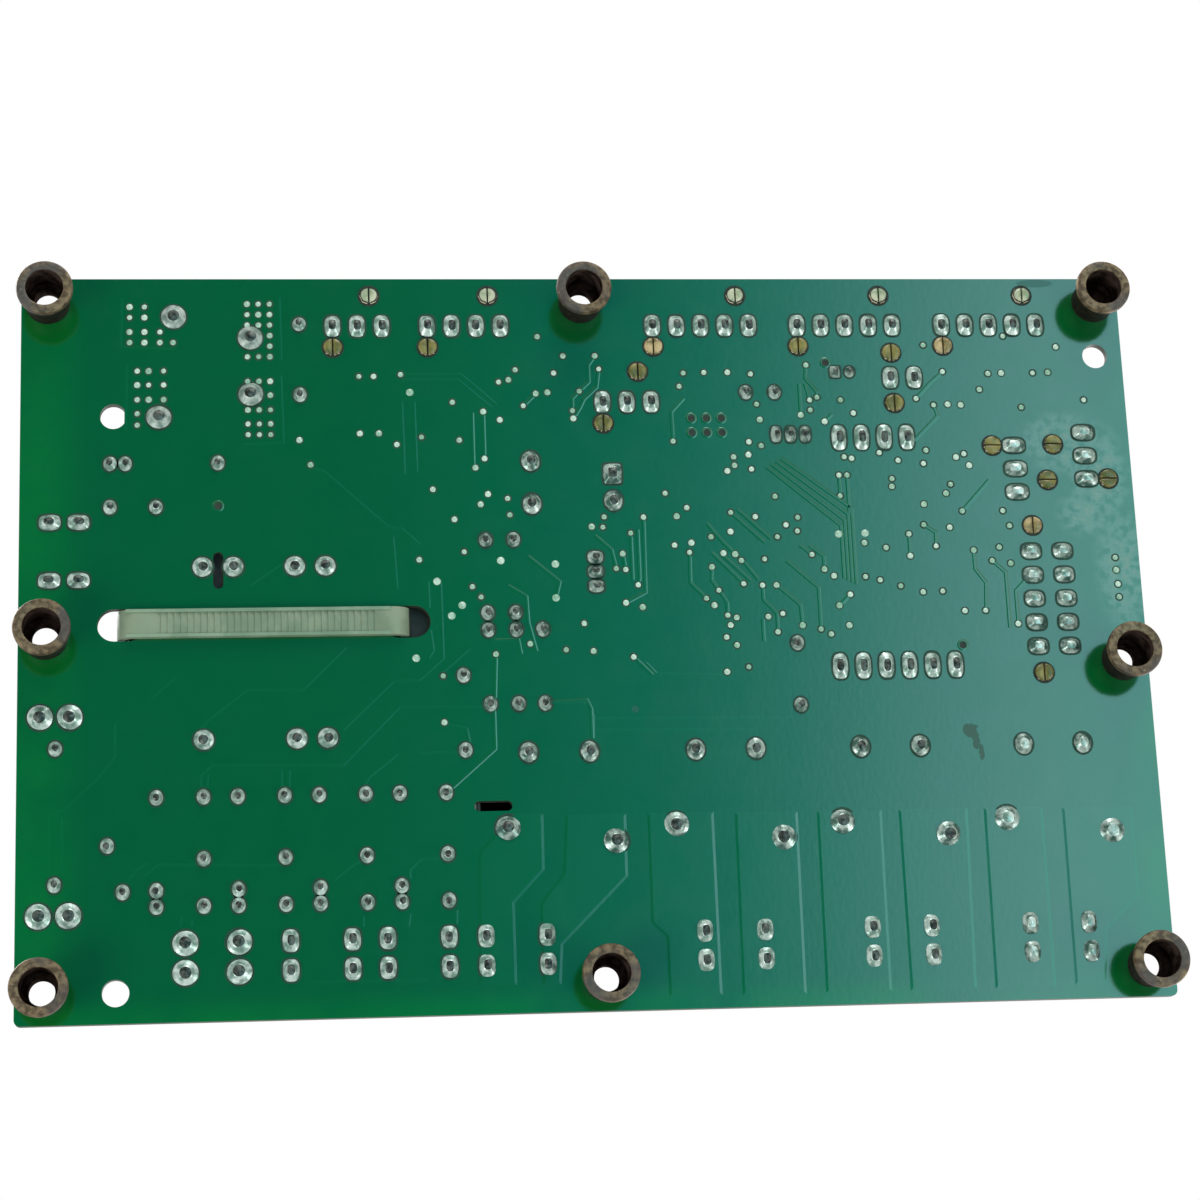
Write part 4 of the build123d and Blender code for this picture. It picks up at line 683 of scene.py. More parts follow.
# Fine tracks under the mask
TRACKS = [
    [(-8.2, -42.4), (-10.4, -40.2)], [(2.2, -49.2), (1, -47.5), (1, -44.5), (-2, -41.5), (-2, -39.3)],
    [(2.8, -46.8), (2.3, -43.5), (0, -41.3), (-0.7, -39.8), (-1.9, -37.9)],
    [(-17.3, -39.2), (-17.3, -30.8)], [(-19.2, -39), (-19.2, -29.2)],
    [(15.1, -33.7), (15, -39), (17.3, -41.5)], [(38.9, -47.4), (38.6, -45), (40.5, -42.5), (40.5, -41.5)],
    [(37.5, -38.3), (37.5, -44)], [(39.2, -41), (38.5, -44)], [(41.6, -37.1), (42.9, -38.4)],
    [(62.9, -46.1), (60.5, -44), (57.9, -41.2)], [(60.9, -40), (61.5, -38), (57, -33.5)],
    [(64.6, -20.8), (69.7, -26.3)], [(57.7, -18.4), (59.7, -17), (59.6, -14.6)], [(55, -16.8), (55, -12.9)],
    [(66.1, -13.8), (66.1, -10.5), (67.8, -8), (67.5, -3.1)], [(69.2, -11.9), (71.4, -9.8), (71.4, 0)],
    [(72.9, -0.7), (72.9, -6.5), (74.6, -8.2)], [(43.5, -27.4), (43.5, -23.7)],
    [(44.9, -27.4), (44.9, -20.5)], [(17, -13.9), (16.9, -8.5), (19.5, -5.8)],
    [(20.7, -11.3), (20.5, -9), (21.7, -7.2), (23, -5), (23, -2.8)],
    [(29.2, -8), (29.2, -5.5), (31.4, -3), (31.4, 0.2)], [(31.6, -8), (35.5, -4.5), (35.7, -0.9)],
    [(33.5, -12.3), (38.8, -7.5), (38.8, -0.2)], [(37.5, -15), (40, -13), (40, -10.7)],
    [(36, -15), (38, -13.3)], [(24.4, -20.9), (30, -15.5)], [(25.6, -21.4), (31, -16.2)],
    [(20.2, -19), (22.5, -16), (24.8, -13.5)], [(20.8, -13.8), (26, -8.3)], [(22.4, -13.6), (27.2, -8.8)],
    [(9.4, -20.2), (9.2, -7), (5.8, -5.2)], [(8.3, -18), (8.3, -9.5), (8, -8.3)],
    [(7.1, -17.4), (7.1, -9.2)], [(1, -17), (3.7, -14.5), (4.4, -11.2)], [(5.6, -13.8), (6, -11)],
    [(42.2, -4.3), (44.2, -6.2)], [(6.7, 4.2), (9.8, 7.4)], [(-10.5, -13.5), (-5.3, -9), (-6, -6.2)],
    [(-14, -8.4), (-11, -6.5), (-10.8, -2), (-9.6, 3)], [(-16.4, 3.4), (-16.8, 11)],
    [(-17, 13), (-17, 19.5), (-25.3, 26.8)], [(-8.4, 11.9), (-1.5, 11.5), (-0.8, 13), (-0.8, 18)],
    [(-16.5, 1), (-12.6, 1), (-12.2, 3.4)], [(28.9, -2), (28.9, 1.8)], [(26, -12.4), (28.5, -9)],
]
# Edges of copper areas and wide tracks under the mask
EDGES = [
    [(-89.7, 39.5), (-89.8, 29.4)], [(-87.6, 38.8), (-87.7, 29.5)], [(-73.5, 10.3), (-69.2, 6.5)],
    [(-89.8, 28.9), (-87.4, 28.4), (-81.6, 23), (-79.2, 19.7), (-79.2, 14.2)],
    [(-65.1, 15.2), (-64.3, 14.1), (-57.7, 8.9), (-48.5, 9), (-41.2, 1.8)],
    [(-65.4, 25), (-65.2, 23), (-63.3, 21.4), (-42.1, 21.8), (-32.6, 12.1), (-18.8, 12.3)],
    [(-64.3, 25), (-64.2, 23)], [(-52.2, 25.2), (-52.2, 22.4)], [(-51, 25.2), (-50.9, 22.5)],
    [(-42, 15.9), (-33.6, 7.8), (-29.2, 7.6), (-25.2, 4), (-25.3, -9)], [(-27.4, -9.3), (-27.3, -4.8)],
    [(-27.2, -0.9), (-26.8, 2.5), (-27.6, 4)], [(-38.9, 25.5), (-37.8, 23.8), (-33, 20)],
    [(-29.7, 20), (-23.4, 19.9)], [(-24.7, 15.3), (-21.6, 16), (-21.2, 18.5)],
    [(-77, 40.1), (-75.7, 38.5), (-73.8, 37.2)], [(-74.6, 39.6), (-72.2, 37.7), (-52.1, 38.2)],
    [(-43.8, 40.8), (-41.3, 38.7), (-39.4, 37.6)],
    [(-31.6, 40.8), (-31.6, 39.4), (-29.9, 37.8), (-26.6, 37.6)], [(-47.5, 57.3), (-28.7, 57.5)],
    [(-39.3, 46.9), (-39.3, 48.6)], [(-31.7, 46.6), (-32, 48.7)], [(-24.1, 46.2), (-24.2, 48.4)],
    [(-68.7, 47.9), (-68.5, 46.2)], [(-66.9, 47.9), (-66.9, 46.6)], [(-25.3, 6.3), (-20.7, 2.3)],
    [(-6.5, 11.7), (-2.6, 11.7), (-1.3, 12.3), (-0.5, 14.1), (-0.6, 17.7)], [(0, 14.6), (33.2, 15)],
    [(0, 16.6), (26.9, 17)], [(8.8, 5.3), (10.4, 7.1), (21.7, 7.5)], [(-33.1, -17.2), (-32.6, -8)],
    [(-31.8, -18.8), (-28.6, -15.7)], [(-51.2, -13), (-57, -9)], [(-29, -41), (-28.8, -28.4)],
    [(-31.1, -41), (-30.9, -28)], [(-46.5, -29.2), (-44.5, -28.8), (-34, -19), (-32.2, -18.4)],
    [(-78.2, -59.8), (-78.4, -51), (-69.2, -50.6)], [(-51.6, -60), (-51.4, -48.6)],
    [(-51.5, -45.8), (-51.2, -33.8), (-58, -33.6)], [(-77.4, -48), (-77.5, -36)],
    [(-31.2, -46), (-21, -46), (-15, -40.5)], [(-31, -45), (-21.5, -45), (-15.8, -39.9)],
]
# Thick copper areas under the relay contacts, seen through the mask
PLATES = [
    [(-14.4, 30.4), (-9.4, 30.5), (-9.5, 39.9), (-14.6, 45.3), (-14.6, 58.7), (-20.8, 58.5), (-20.3, 36.7),
     (-18.3, 34.8)],
    [(-5.8, 30.8), (4.3, 30.8), (4.2, 41.3), (-6.9, 52.3), (-7.4, 58.8), (-10.5, 58.8), (-10.5, 45.4),
     (-6.5, 40.5)],
    [(7.8, 30.8), (18.9, 30.8), (18.9, 61.2), (10.1, 61.2), (10.1, 51.4), (7.7, 49.1)],
    [(22.4, 31), (33, 31), (32.8, 61.3), (22.2, 61.3)],
    [(36.2, 31), (47.2, 31), (47, 61.3), (36, 61.3)],
    [(50, 31), (61.8, 31), (61.2, 61.3), (50.1, 61.3)],
    [(64.5, 31), (74.6, 31), (74.6, 61.3), (64.3, 61.3)],
    [(77.9, 31.2), (90, 31.2), (90, 46.4), (84, 52), (83, 61), (77.8, 61)],
]


def bus():
    """Four parallel lines that leave the controller and turn down beside each other."""
    return [
        [(31.0 + s, -29.0 - s * 0.6), (43.3 + s * 0.8, -18.4 - s * 1.2), (43.3 + s * 0.8, -9.0 + s * 0.4)]
        for s in (0, 0.85, 1.7, 2.55)
    ]


# Width, height and slope of the relief
TRACK_SECTION = (0.7, 0.028, 0.2)
EDGE_SECTION = (0.5, 0.012, 0.24)
PLATE_HEIGHT, PLATE_SLOPE = 0.02, 0.45


def copper():
    """Relief of the copper under the mask: fine tracks, edges of areas, and thick areas."""
    form = Form()
    for line in TRACKS + bus():
        form.ribbon(line, *TRACK_SECTION)
    for line in EDGES:
        form.ribbon(line, *EDGE_SECTION)
    for outline in PLATES:
        form.prism(outline, SOLDER_Z, SOLDER_Z - PLATE_HEIGHT, PLATE_SLOPE)
    form.piece("tracks", "mask_over_tracks", "board", 1)


HOUSINGS = [
    "header_three_way", "header_four_way", "header_five_way_1", "header_five_way_2", "header_five_way_3",
    "inner_header_three_way", "side_header_1", "side_header_2", "header_two_way", "power_connector",
]
# Domed end of a peg: share of the outline, height over the board
PEG_DOME = [(1.0, -0.5), (1.0, 0.42), (0.94, 0.52), (0.8, 0.6), (0.5, 0.68), (0.15, 0.71)]
PEG_HOLE = [(1.92, 0), (1.9, 0.02), (1.3, 0.02)]
PEG_SPACING = 4
HALF_SLIT = 0.13
FRONT_EDGE_Y = -58
IVORY, AMBER, OLIVE = range(3)


def peg_places(node):
    """Middles of the groups of vertices that a housing has below the solder face."""
    groups = []
    for point in (vert.co / MM for vert in NODES[node].data.vertices):
        if point.z > SOLDER_Z - 0.3:
            continue
        for group in groups:
            if (group[0] - point).length < PEG_SPACING:
                group.append(point)
                break
        else:
            groups.append([point])
    return [sum(group, Vector()) / len(group) for group in groups]


def peg_halves(form, middle, radius, quarter, paint):
    """Two domed half-rounds with a slit between them."""
    for side in (-1, 1):
        outline = []
        for i in range(17):
            angle = math.pi * (i / 16 - 0.5)
            x, y = (HALF_SLIT + radius * math.cos(angle)) * side, radius * math.sin(angle)
            outline.append(Vector((-y, x) if quarter else (x, y)))
        core = sum(outline, Vector((0, 0))) / len(outline)
        centre = Vector((middle.x, middle.y))
        form.loft([[(*(centre + core + (point - core) * share), SOLDER_Z - height) for point in outline]
                   for share, height in PEG_DOME], paint)


def peg_shade(node, middle):
    """Pale pegs along the front edge, amber ones beside the headers, dark olive ones elsewhere."""
    if middle.y < FRONT_EDGE_Y:
        return IVORY
    if node == "power_connector" and middle.y < 0:
        return AMBER
    return AMBER if node.startswith("header_f") and DICE.random() < 0.8 else OLIVE


def pegs():
    """Heads of the housings' board pegs, each in a dark ring of painted shade round its hole."""
    heads = Form()
    rims = Form()
    for node in HOUSINGS:
        for middle in peg_places(node):
            shade = peg_shade(node, middle)
            radius = 1.25 if shade == IVORY else 1.45
            peg_halves(heads, middle, radius, node.startswith("side"), shade)
            # Dark ring round each peg: painted shade in the gap of its hole
            rims.lathe(PEG_HOLE, under(middle.x, middle.y), 32)
    heads.piece("peg_heads", "peg_ivory peg_amber peg_olive", "header_nylon", 50)
    rims.piece("peg_holes", "hollow", "board", 30)


# Standoff sections, radius and height: foot flange, neck in painted shade, rolled rim, bore, dark plug in
# the bore
STANDOFF_FLANGE = [(3.12, 0.3), (3.18, 0.08), (3.4, 0.0), (4.3, 0.0), (4.56, 0.1), (4.7, 0.4), (4.7, 0.7)]
STANDOFF_NECK = [(4.7, 1.1), (4.55, 1.4), (4.25, 1.5), (3.7, 1.65), (3.7, 7.98), (2.75, 7.98), (2.75, 9.6)]
STANDOFF_RIM = [(3.6, 9.62), (3.55, 9.85), (2.9, 10.2), (2.3, 10.3)]
STANDOFF_BORE = [(2.2, 10.1), (2.2, 6.9), (2.3, 6.8), (3.1, 6.8), (3.1, 0.3), (3.12, 0.3)]
STANDOFF_PLUG = [(2.3, 7.4), (1.6, 7.5), (0.0, 7.6)]
PLUGGED_STANDOFF = "standoff_front_right"


def standoffs():
    """Tarnished standoffs, with painted shade on their necks; the bore of one is closed by a dark plug."""
    section = STANDOFF_FLANGE + STANDOFF_NECK + STANDOFF_RIM + STANDOFF_BORE
    # Neck steps, with the flange's upper shoulder, take the brass in painted shade
    paint = [0] * len(STANDOFF_FLANGE) + [1] * len(STANDOFF_NECK) + [0] * len(STANDOFF_RIM)
    paint += [2] * (len(STANDOFF_BORE) - 1)
    for node in sorted(n for n in NODES if n.startswith("standoff_")):
        low, high = box_of(node)
        form = Form()
        place = Matrix.Translation(((low.x + high.x) / 2, (low.y + high.y) / 2, low.z))
        place = place @ Matrix.Rotation(DICE.uniform(0, 6), 4, "Z")
        form.lathe(section, place, 64, paint=paint)
        if node == PLUGGED_STANDOFF:
            form.lathe(STANDOFF_PLUG, place, 32, paint=2)
        form.dress(node, "tarnished_brass dark_brass bore")


# ---- connectors and terminals
def connectors():
    for node in HOUSINGS + ["wide_header_four_way", "wide_header_six_way"]:
        # Faces at and below the solder face, the pegs' ends round their heads and in the slits, are dark:
        # painted shade
        eased(node, "header_nylon hollow", 0.25, lambda centre: 1 if centre.z < SOLDER_Z + 0.1 else 0)
    eased("jumper_base", "black_moulding", 0.25)
    eased("connector_pins", "tinned_metal", 0.22)


def blades():
    """Terminals with a locking hole through each blade, filled with a dark plug of painted shade."""
    holes = Form()
    for node in ("side_blades", "rear_blades_left", "rear_blades_right"):
        eased(node, "tinned_metal", 0.15)
        for low, high in solids(node):
            middle, size = (low + high) / 2, high - low
            thin, turn = (size.x, TO_X) if size.x < size.y else (size.y, TO_Y)
            half = thin / 2 + 0.02
            place = Matrix.Translation((middle.x, middle.y, high.z - 2.9)) @ turn
            holes.lathe([(0, -half), (0.7, -half), (0.7, half), (0, half)], place, 18)
    holes.piece("blade_holes", "hollow", "tinned_metal", 30)


# ---- relays
# Kind and look
RELAYS = [("power_relay", "relay_case"), ("small_relay", "small_relay_case")]
RELAY_SLOT_Y = 28.8


def relay_marks(marks, low, high, paint):
    """A relay's raised lid and breather, and the resin round its foot."""
    edge, foot = 2.6 - paint, 0.05
    lid = rectangle(low.x + edge, low.y + edge, high.x - edge, high.y - edge)
    marks.prism(lid, high.z - 0.1, high.z + 0.2, 0.3, paint)
    breather = Matrix.Translation((high.x - edge * 1.8, high.y - edge * 1.8, high.z + 0.2))
    marks.lathe([(0.9, -0.1), (0.8, 0.35), (0.3, 0.45), (0, 0.3)], breather, 20, paint=paint)
    marks.block((low.x - foot, low.y - foot, low.z), (high.x + foot, high.y + foot, low.z + 0.9), 2)


def relays():
    """Relays, and a black block over the tip of the slot beside the first one, painted shade that darkens
    the slot.
    """
    marks = Form()
    for i in range(1, 5):
        for paint, (kind, look) in enumerate(RELAYS):
            node = f"{kind}_{i}"
            eased(node, look, 0.35)
            relay_marks(marks, *box_of(node), paint)
    left = box_of("power_relay_1")[0].x
    # Black block over the slot's tip: painted shade
    marks.block((left - 1.3, RELAY_SLOT_Y - 1.6, TOP_Z + 0.02), (left, RELAY_SLOT_Y + 1.6, TOP_Z + 2.5))
    marks.piece("relay_lids", "relay_case small_relay_case epoxy_seal", "power_relay_case", 30)


# ---- transformer
SLOT_X = -62.5
TIE_RIGHT_TURN = -31.8
TIE_FACE = SOLDER_Z - 1.2
TIE_TEETH = (-77.4, -33.8)


def transformer():
    """Transformer; a black block over the tip of the slot under it, painted shade that darkens the slot;
    and the tie round it, its head low beside the board in painted shade.
    """
    eased("transformer_core", "laminations", 0.2)
    eased("transformer_bobbin", "black_moulding", 0.3)
    front = box_of("transformer_bobbin")[0].y
    # Black block over the slot's tip: painted shade
    slot_shade = Form()
    slot_shade.block((SLOT_X - 2, front - 1.8, TOP_Z + 0.02), (SLOT_X + 2, front + 0.1, TOP_Z + 4))
    slot_shade.piece("bobbin_slot_shade", "black_moulding", "bobbin_nylon")
    for node in ("transformer_primary_winding", "transformer_secondary_winding"):
        eased(node, "winding_tape", 0.5)
    # The tie's faces low beside the board on the head's side take painted shade
    eased("cable_tie", "tie_nylon tie_grime", 0.12,
          lambda centre: 1 if TOP_Z - 1.2 < centre.z < TOP_Z + 1.5 and centre.x > TIE_RIGHT_TURN else 0)
    tie_rails()


def tie_rails():
    """Plain raised edges on both sides of the strap's teeth."""
    low, high = box_of("cable_tie")
    form = Form()
    for side in (-1, 1):
        edge = (low.y + high.y) / 2 + side * 2.1
        form.block((TIE_TEETH[0], edge - 0.28, TIE_FACE - 0.1), (TIE_TEETH[1], edge + 0.28, TIE_FACE + 0.2))
    form.piece("tie_rails", "tie_rail", "tie_nylon", 30)


# ---- wound and leaded parts
def choke(form, low, high):
    """Two coils of bare-looking wire on a coated ring, with a gap between them."""
    middle = (low + high) / 2
    hole, wire = 3.0, 0.34
    inner, outer, side = hole + 2 * wire, (high.x - low.x) / 2 - 2 * wire, (high.y - low.y) / 2 - 2 * wire
    ring = [(inner, -side), (outer, -side), (outer, side), (inner, side), (inner, -side)]
    form.lathe(ring, Matrix.Translation(middle) @ TO_Y, 48, paint=1)
    short, long = side * 0.8, side + wire
    turn = [(inner - wire, -short), (inner - wire, short), (inner, long), (outer, long),
            (outer + wire, short), (outer + wire, -short), (outer, -long), (inner, -long)]
    for angle in (math.radians(coil + 18 + 12 * k) for coil in (0, 180) for k in range(13)):
        out = Vector((math.cos(angle), 0, math.sin(angle)))
        loop = [middle + out * r + Vector((0, y, 0)) for r, y in turn]
        form.tube(loop, wire * 0.95, 7, closed=True)


def chokes():
    for node in ("choke_front", "choke_rear"):
        form = Form()
        choke(form, *solids(node)[0])
        form.dress(node, "enamelled_copper ferrite", "copper_wire", 40)
    eased("choke_bases", "black_moulding", 0.3)


def score(form, middle, top, arm):
    """Star of three shallow scores across a can's top, painted dark as shade in the grooves."""
    for turn in (0, 60, 120):
        place = Matrix.Translation((middle.x, middle.y, top)) @ Matrix.Rotation(math.radians(turn), 4, "Z")
        points = [place @ Vector((x, y, 0)) for x, y in rectangle(-arm, -0.12, arm, 0.12)]
        form.prism([(p.x, p.y) for p in points], top - 0.01, top + 0.02, paint=2)


def stripe(form, middle, radius, low, high):
    """Pale stripe down a can's side."""
    angles = [math.radians(200 + 5 * i) for i in range(9)]
    verts = [(middle.x + math.cos(a) * radius, middle.y + math.sin(a) * radius, z)
             for z in (low, high) for a in angles]
    form.add(verts, [[i, i + 1, i + 10, i + 9] for i in range(8)], 3)


def can_capacitor(node):
    """Sleeved can: rolled groove, crimped rim, scored top and a pale stripe down one side."""
    low, high = solids(node)[0]
    middle = (low + high) / 2
    radius, tall = (high.x - low.x) / 2, high.z - low.z
    sleeve = [(radius * 0.6, 0), (radius - 0.3, 0), (radius, 0.4), (radius, 1.1), (radius - 0.6, 1.7),
              (radius - 0.6, 2.0), (radius, 2.6), (radius, tall - 0.9), (radius - 0.3, tall - 0.25),
              (radius - 0.8, tall)]
    top = [(radius - 1.2, tall - 0.02), (radius - 1.3, tall - 0.3), (0, tall - 0.3)]
    form = Form()
    place = Matrix.Translation((middle.x, middle.y, low.z))
    form.lathe(sleeve + top, place, 64, paint=[0] * len(sleeve) + [1, 1])
    score(form, middle, high.z - 0.3, radius * 0.5)
    stripe(form, middle, radius + 0.02, low.z + 3, high.z - 1)
    form.dress(node, "capacitor_sleeve can_metal hollow sleeve_band")


def wire_over(form, low, high, axis_z, paint):
    """Lead along Y that bends down to the board at both ends."""
    x, half, bend = (low.x + high.x) / 2, 0.35, 0.8
    corner = [(0, low.z), (0, axis_z - bend), (0.25 * bend, axis_z - 0.25 * bend), (bend, axis_z)]
    front = [(x, low.y + half + y, z) for y, z in corner]
    rear = [(x, high.y - half - y, z) for y, z in reversed(corner)]
    form.tube(front + rear, half, 8, paint)


# Bodies of the axial parts, radius and place along the axis, and the material of each step
DIODE = [(0, -2.6), (1.0, -2.6), (1.3, -2.3), (1.35, -1.9), (1.35, -1.3), (1.35, 2.2), (1.2, 2.5),
         (0.9, 2.6), (0, 2.6)]
RESISTOR = [(0, -2.6), (0.9, -2.6), (1.3, -2.2), (1.35, -1.5), (1.1, -1.1), (1.1, -0.9), (1.1, -0.4),
            (1.1, -0.1), (1.1, 0.4), (1.1, 0.7), (1.1, 1.1), (1.35, 1.5), (1.3, 2.2), (0.9, 2.6), (0, 2.6)]
DIODE_RINGS = [0, 0, 0, 1, 0, 0, 0, 0]
RESISTOR_RINGS = [0, 0, 0, 0, 0, 1, 0, 2, 0, 1, 0, 0, 0, 0]


def axial_parts(node, profile, paint, looks):
    """Round bodies of diodes or resistors, with their leads."""
    form = Form()
    for low, high in solids(node):
        axis_z = high.z - 1.35
        middle = Vector(((low.x + high.x) / 2, (low.y + high.y) / 2, axis_z))
        form.lathe(profile, Matrix.Translation(middle) @ TO_Y, 20, paint=paint)
        wire_over(form, low, high, axis_z, 2)
    form.dress(node, looks)


def varistor():
    low, high = solids("varistor")[0]
    middle = (low + high) / 2
    centre = Vector((middle.x, middle.y, high.z - (high.y - low.y) / 2))
    form = Form()
    edge = [(3.8, -2.15), (5.4, -1.75), (6.2, -1.0), (6.5, 0), (6.2, 1.0), (5.4, 1.75), (3.8, 2.15)]
    form.lathe([(0, -2.2), *edge, (0, 2.2)], Matrix.Translation(centre) @ TO_X, 48)
    for side in (-1, 1):
        foot = Vector((middle.x + side * 1.25, middle.y + side * 3.8, low.z))
        knee = foot + Vector((0, 0, 2.4))
        top = Vector((middle.x + side * 0.9, middle.y + side * 3.3, centre.z - 3))
        form.tube([foot, knee], 0.35, 8, 1)
        form.tube([knee - Vector((0, 0, 0.6)), knee, top], 0.6, 10)
    form.dress("varistor", "varistor_coating tinned_metal", smooth=40)


def film_capacitors():
    """Boxed capacitors with broken edges, on four short feet."""
    form = Form()
    edge, rim, foot = 0.35, 0.4, 0.4
    for low, high in solids("film_capacitors"):
        x0, y0, x1, y1 = low.x, low.y, high.x, high.y
        outline = [(x0 + edge, y0), (x1 - edge, y0), (x1, y0 + edge), (x1, y1 - edge),
                   (x1 - edge, y1), (x0 + edge, y1), (x0, y1 - edge), (x0, y0 + edge)]
        form.prism(outline, low.z + rim, high.z - rim)
        form.prism(outline, high.z - rim, high.z, rim)
        for x, y in ((x, y) for x in (x0 + 0.6, x1 - 0.6) for y in (y0 + 0.6, y1 - 0.6)):
            form.block((x - foot, y - foot, low.z), (x + foot, y + foot, low.z + 0.5))
    form.dress("film_capacitors", "film_case")


def fuse():
    """Glass tube with a wire in it between two plated caps."""
    low, high = solids("fuse")[0]
    middle = (low + high) / 2
    half, radius = (high.y - low.y) / 2, (high.x - low.x) / 2
    place = Matrix.Translation(middle) @ TO_Y
    glass, inner, cap = 2.35, 2.0, 5.4
    tube = half - cap * 0.7
    form = Form()
    form.lathe([(glass, -tube), (glass, tube), (inner, tube), (inner, -tube), (glass, -tube)], place, 40)
    for side in (-1, 1):
        ends = [(0, half), (radius - 0.25, half), (radius, half - 0.3), (radius, half - cap),
                (glass, half - cap)]
        form.lathe([(r, side * y) for r, y in ends], place, 40, paint=1)
    form.tube([middle - Vector((0, tube, 0.6)), middle + Vector((0, tube, 0.5))], 0.12, 6, 1)
    form.dress("fuse", "clear_glass tinned_metal", "fuse_glass")
    eased("fuse_clips", "tinned_metal", 0.12)


def standing_parts():
    """Regulator, transistor and crystal."""
    low, high = box_of("regulator")

    def regulator_paint(centre):
        bare_tab = centre.x < low.x + 1.35 and centre.z > high.z - 6.1
        bare_back = centre.x < low.x + 0.05 and centre.z > low.z + 3.4
        if bare_tab or bare_back:
            return 1
        return 2 if centre.z < low.z + 3.3 else 0

    eased("regulator", "black_moulding can_metal tinned_metal", 0.15, regulator_paint)
    stand = box_of("transistor")[0].z + 2.4
    eased("transistor", "black_moulding tinned_metal", 0.15, lambda centre: 1 if centre.z < stand else 0)
    eased("crystal", "can_metal", 0.3)


# ---- surface-mounted parts
# Side view of a bent lead: distance from the chip, height
GULL_WING = [(0, 0.75), (0.35, 0.75), (0.55, 0.13), (1, 0.13), (1, 0), (0.45, 0), (0.27, 0.63), (0, 0.63)]
LEAD_WIDTH = 0.36


def gull_lead(form, start, out):
    """Bent lead from a chip's side down to its pad; out is the direction away from the chip."""
    across = Vector((-out.y, out.x, 0)) * LEAD_WIDTH / 2
    line = [start + out * d + Vector((0, 0, z)) for d, z in GULL_WING]
    form.loft([[point + across * side for point in line] for side in (-1, 1)])


def chip_leads(form, low, high, all_sides):
    """Rows of leads on two sides of a chip, or on four."""
    middle, size = (low + high) / 2, high - low
    count, pitch = (12, 0.8) if all_sides else (8, 1.27)
    for x, y in [(0, 1), (0, -1), (1, 0), (-1, 0)][:4 if all_sides else 2]:
        reach = (size.y if y else size.x) / 2
        for shift in ((i - (count - 1) / 2) * pitch for i in range(count)):
            start = Vector((middle.x + x * reach + y * shift, middle.y + y * reach + x * shift, TOP_Z))
            gull_lead(form, start, Vector((x, y, 0)))


def chips():
    """Chips with their leads and the dot at the first pin."""
    form = Form()
    dots = Form()
    for node in ("microcontroller", "driver_chips"):
        eased(node, "black_moulding", 0.12)
        for low, high in solids(node):
            chip_leads(form, low, high, node == "microcontroller")
            place = Matrix.Translation((low.x + 1.1, low.y + 1.0, high.z))
            # Dark disc at the first pin: painted shade in its dimple
            dots.lathe([(0.4, 0.005), (0.3, 0.01), (0, 0.01)], place, 16)
    form.piece("chip_leads", "tinned_metal", smooth=20)
    dots.piece("pin_one_dots", "hollow", "black_moulding", 30)


def passives():
    """Chip parts with plated ends; every third has a ceramic body."""
    form = Form()
    end, thin = 0.45, 0.03
    for n, (low, high) in enumerate(solids("surface_passives")):
        form.block((low.x + thin, low.y + thin, low.z), (high.x - thin, high.y - thin, high.z - thin),
                   2 if n % 3 == 0 else 0)
        form.block(low, (high.x, low.y + end, high.z), 1)
        form.block((low.x, high.y - end, low.z), high, 1)
    form.dress("surface_passives", "black_moulding tinned_metal chip_ceramic", "chip_ceramic")


OUTLINED = ("power_relay", "small_relay", "header_", "inner_", "side_header", "wide_", "film",
            "microcontroller", "driver")
OUTLINED_SINGLY = ("film_capacitors", "driver_chips")


def legend():
    """Printed outlines round the parts on the component side, and the far ends of the vias."""
    form = Form()
    wide, proud, gap = 0.18, 0.02, 0.55
    for node in (n for n in NODES if n.startswith(OUTLINED)):
        for low, high in (solids(node) if node in OUTLINED_SINGLY else [box_of(node)]):
            x0, y0, x1, y1 = low.x - gap, low.y - gap, high.x + gap, high.y + gap
            for a, b, c, d in ((x0, y0, x1, y0 + wide), (x0, y1 - wide, x1, y1),
                               (x0, y0, x0 + wide, y1), (x1 - wide, y0, x1, y1)):
                form.block((a, b, TOP_Z), (c, d, TOP_Z + proud))
    form.piece("legend", "legend_ink", "board", 20)
    dots = Form()
    for x, y in VIAS:
        dots.lathe([(0.5, 0), (0.45, 0.05), (0, 0.06)], Matrix.Translation((x, y, TOP_Z)), 12)
    dots.piece("via_tops", "via_solder", "solder", 40)


# ---- stage, in metres
# Round lamps that face the middle of the board: place, size, power
LAMPS = {
    "under_left": ((-0.5, 0.3, -0.45), 0.35, 2.2),
    "under_front": ((0.1, -0.7, -0.35), 0.4, 2.6),
    "under_right": ((0.6, 0.35, -0.35), 0.35, 2.0),
    "over_left": ((-0.5, -0.45, 0.6), 0.45, 5.0),
    "over_right": ((0.55, 0.35, 0.65), 0.45, 3.0),
}
CAMERA_PLACE = (-0.0528, 0.1224, -0.4729)
CAMERA_VIEW = Vector((0.10828, -0.25596, 0.9606))
CAMERA_UP = Vector((0.01183, -0.96589, -0.2587))
FLOOR_SIZE = 3.0


def lights():
    for name, (place, size, power) in LAMPS.items():
        data = bpy.data.lights.new(name, "AREA")
        data.shape = "DISK"
        data.size = size
        data.energy = power
        lamp = show(name, data)
        lamp.location = place
        lamp.rotation_euler = (-Vector(place)).to_track_quat("-Z", "Y").to_euler()


def camera():
    """Camera below the board that looks up at its solder side."""
    data = bpy.data.cameras.new("camera")
    data.lens = 89.3
    data.sensor_width = 36
    data.clip_start = 0.01
    turn = Matrix((CAMERA_VIEW.cross(CAMERA_UP), CAMERA_UP, -CAMERA_VIEW)).transposed().to_4x4()
    made = bpy.context.scene.camera = show("camera", data)
    made.matrix_world = Matrix.Translation(CAMERA_PLACE) @ turn


def either(mat, fac, first, second):
    """The first shader where fac is 0, the second where it is 1."""
    return add_node(mat, "MixShader", {"Fac": fac, 1: first, 2: second}).outputs["Shader"]


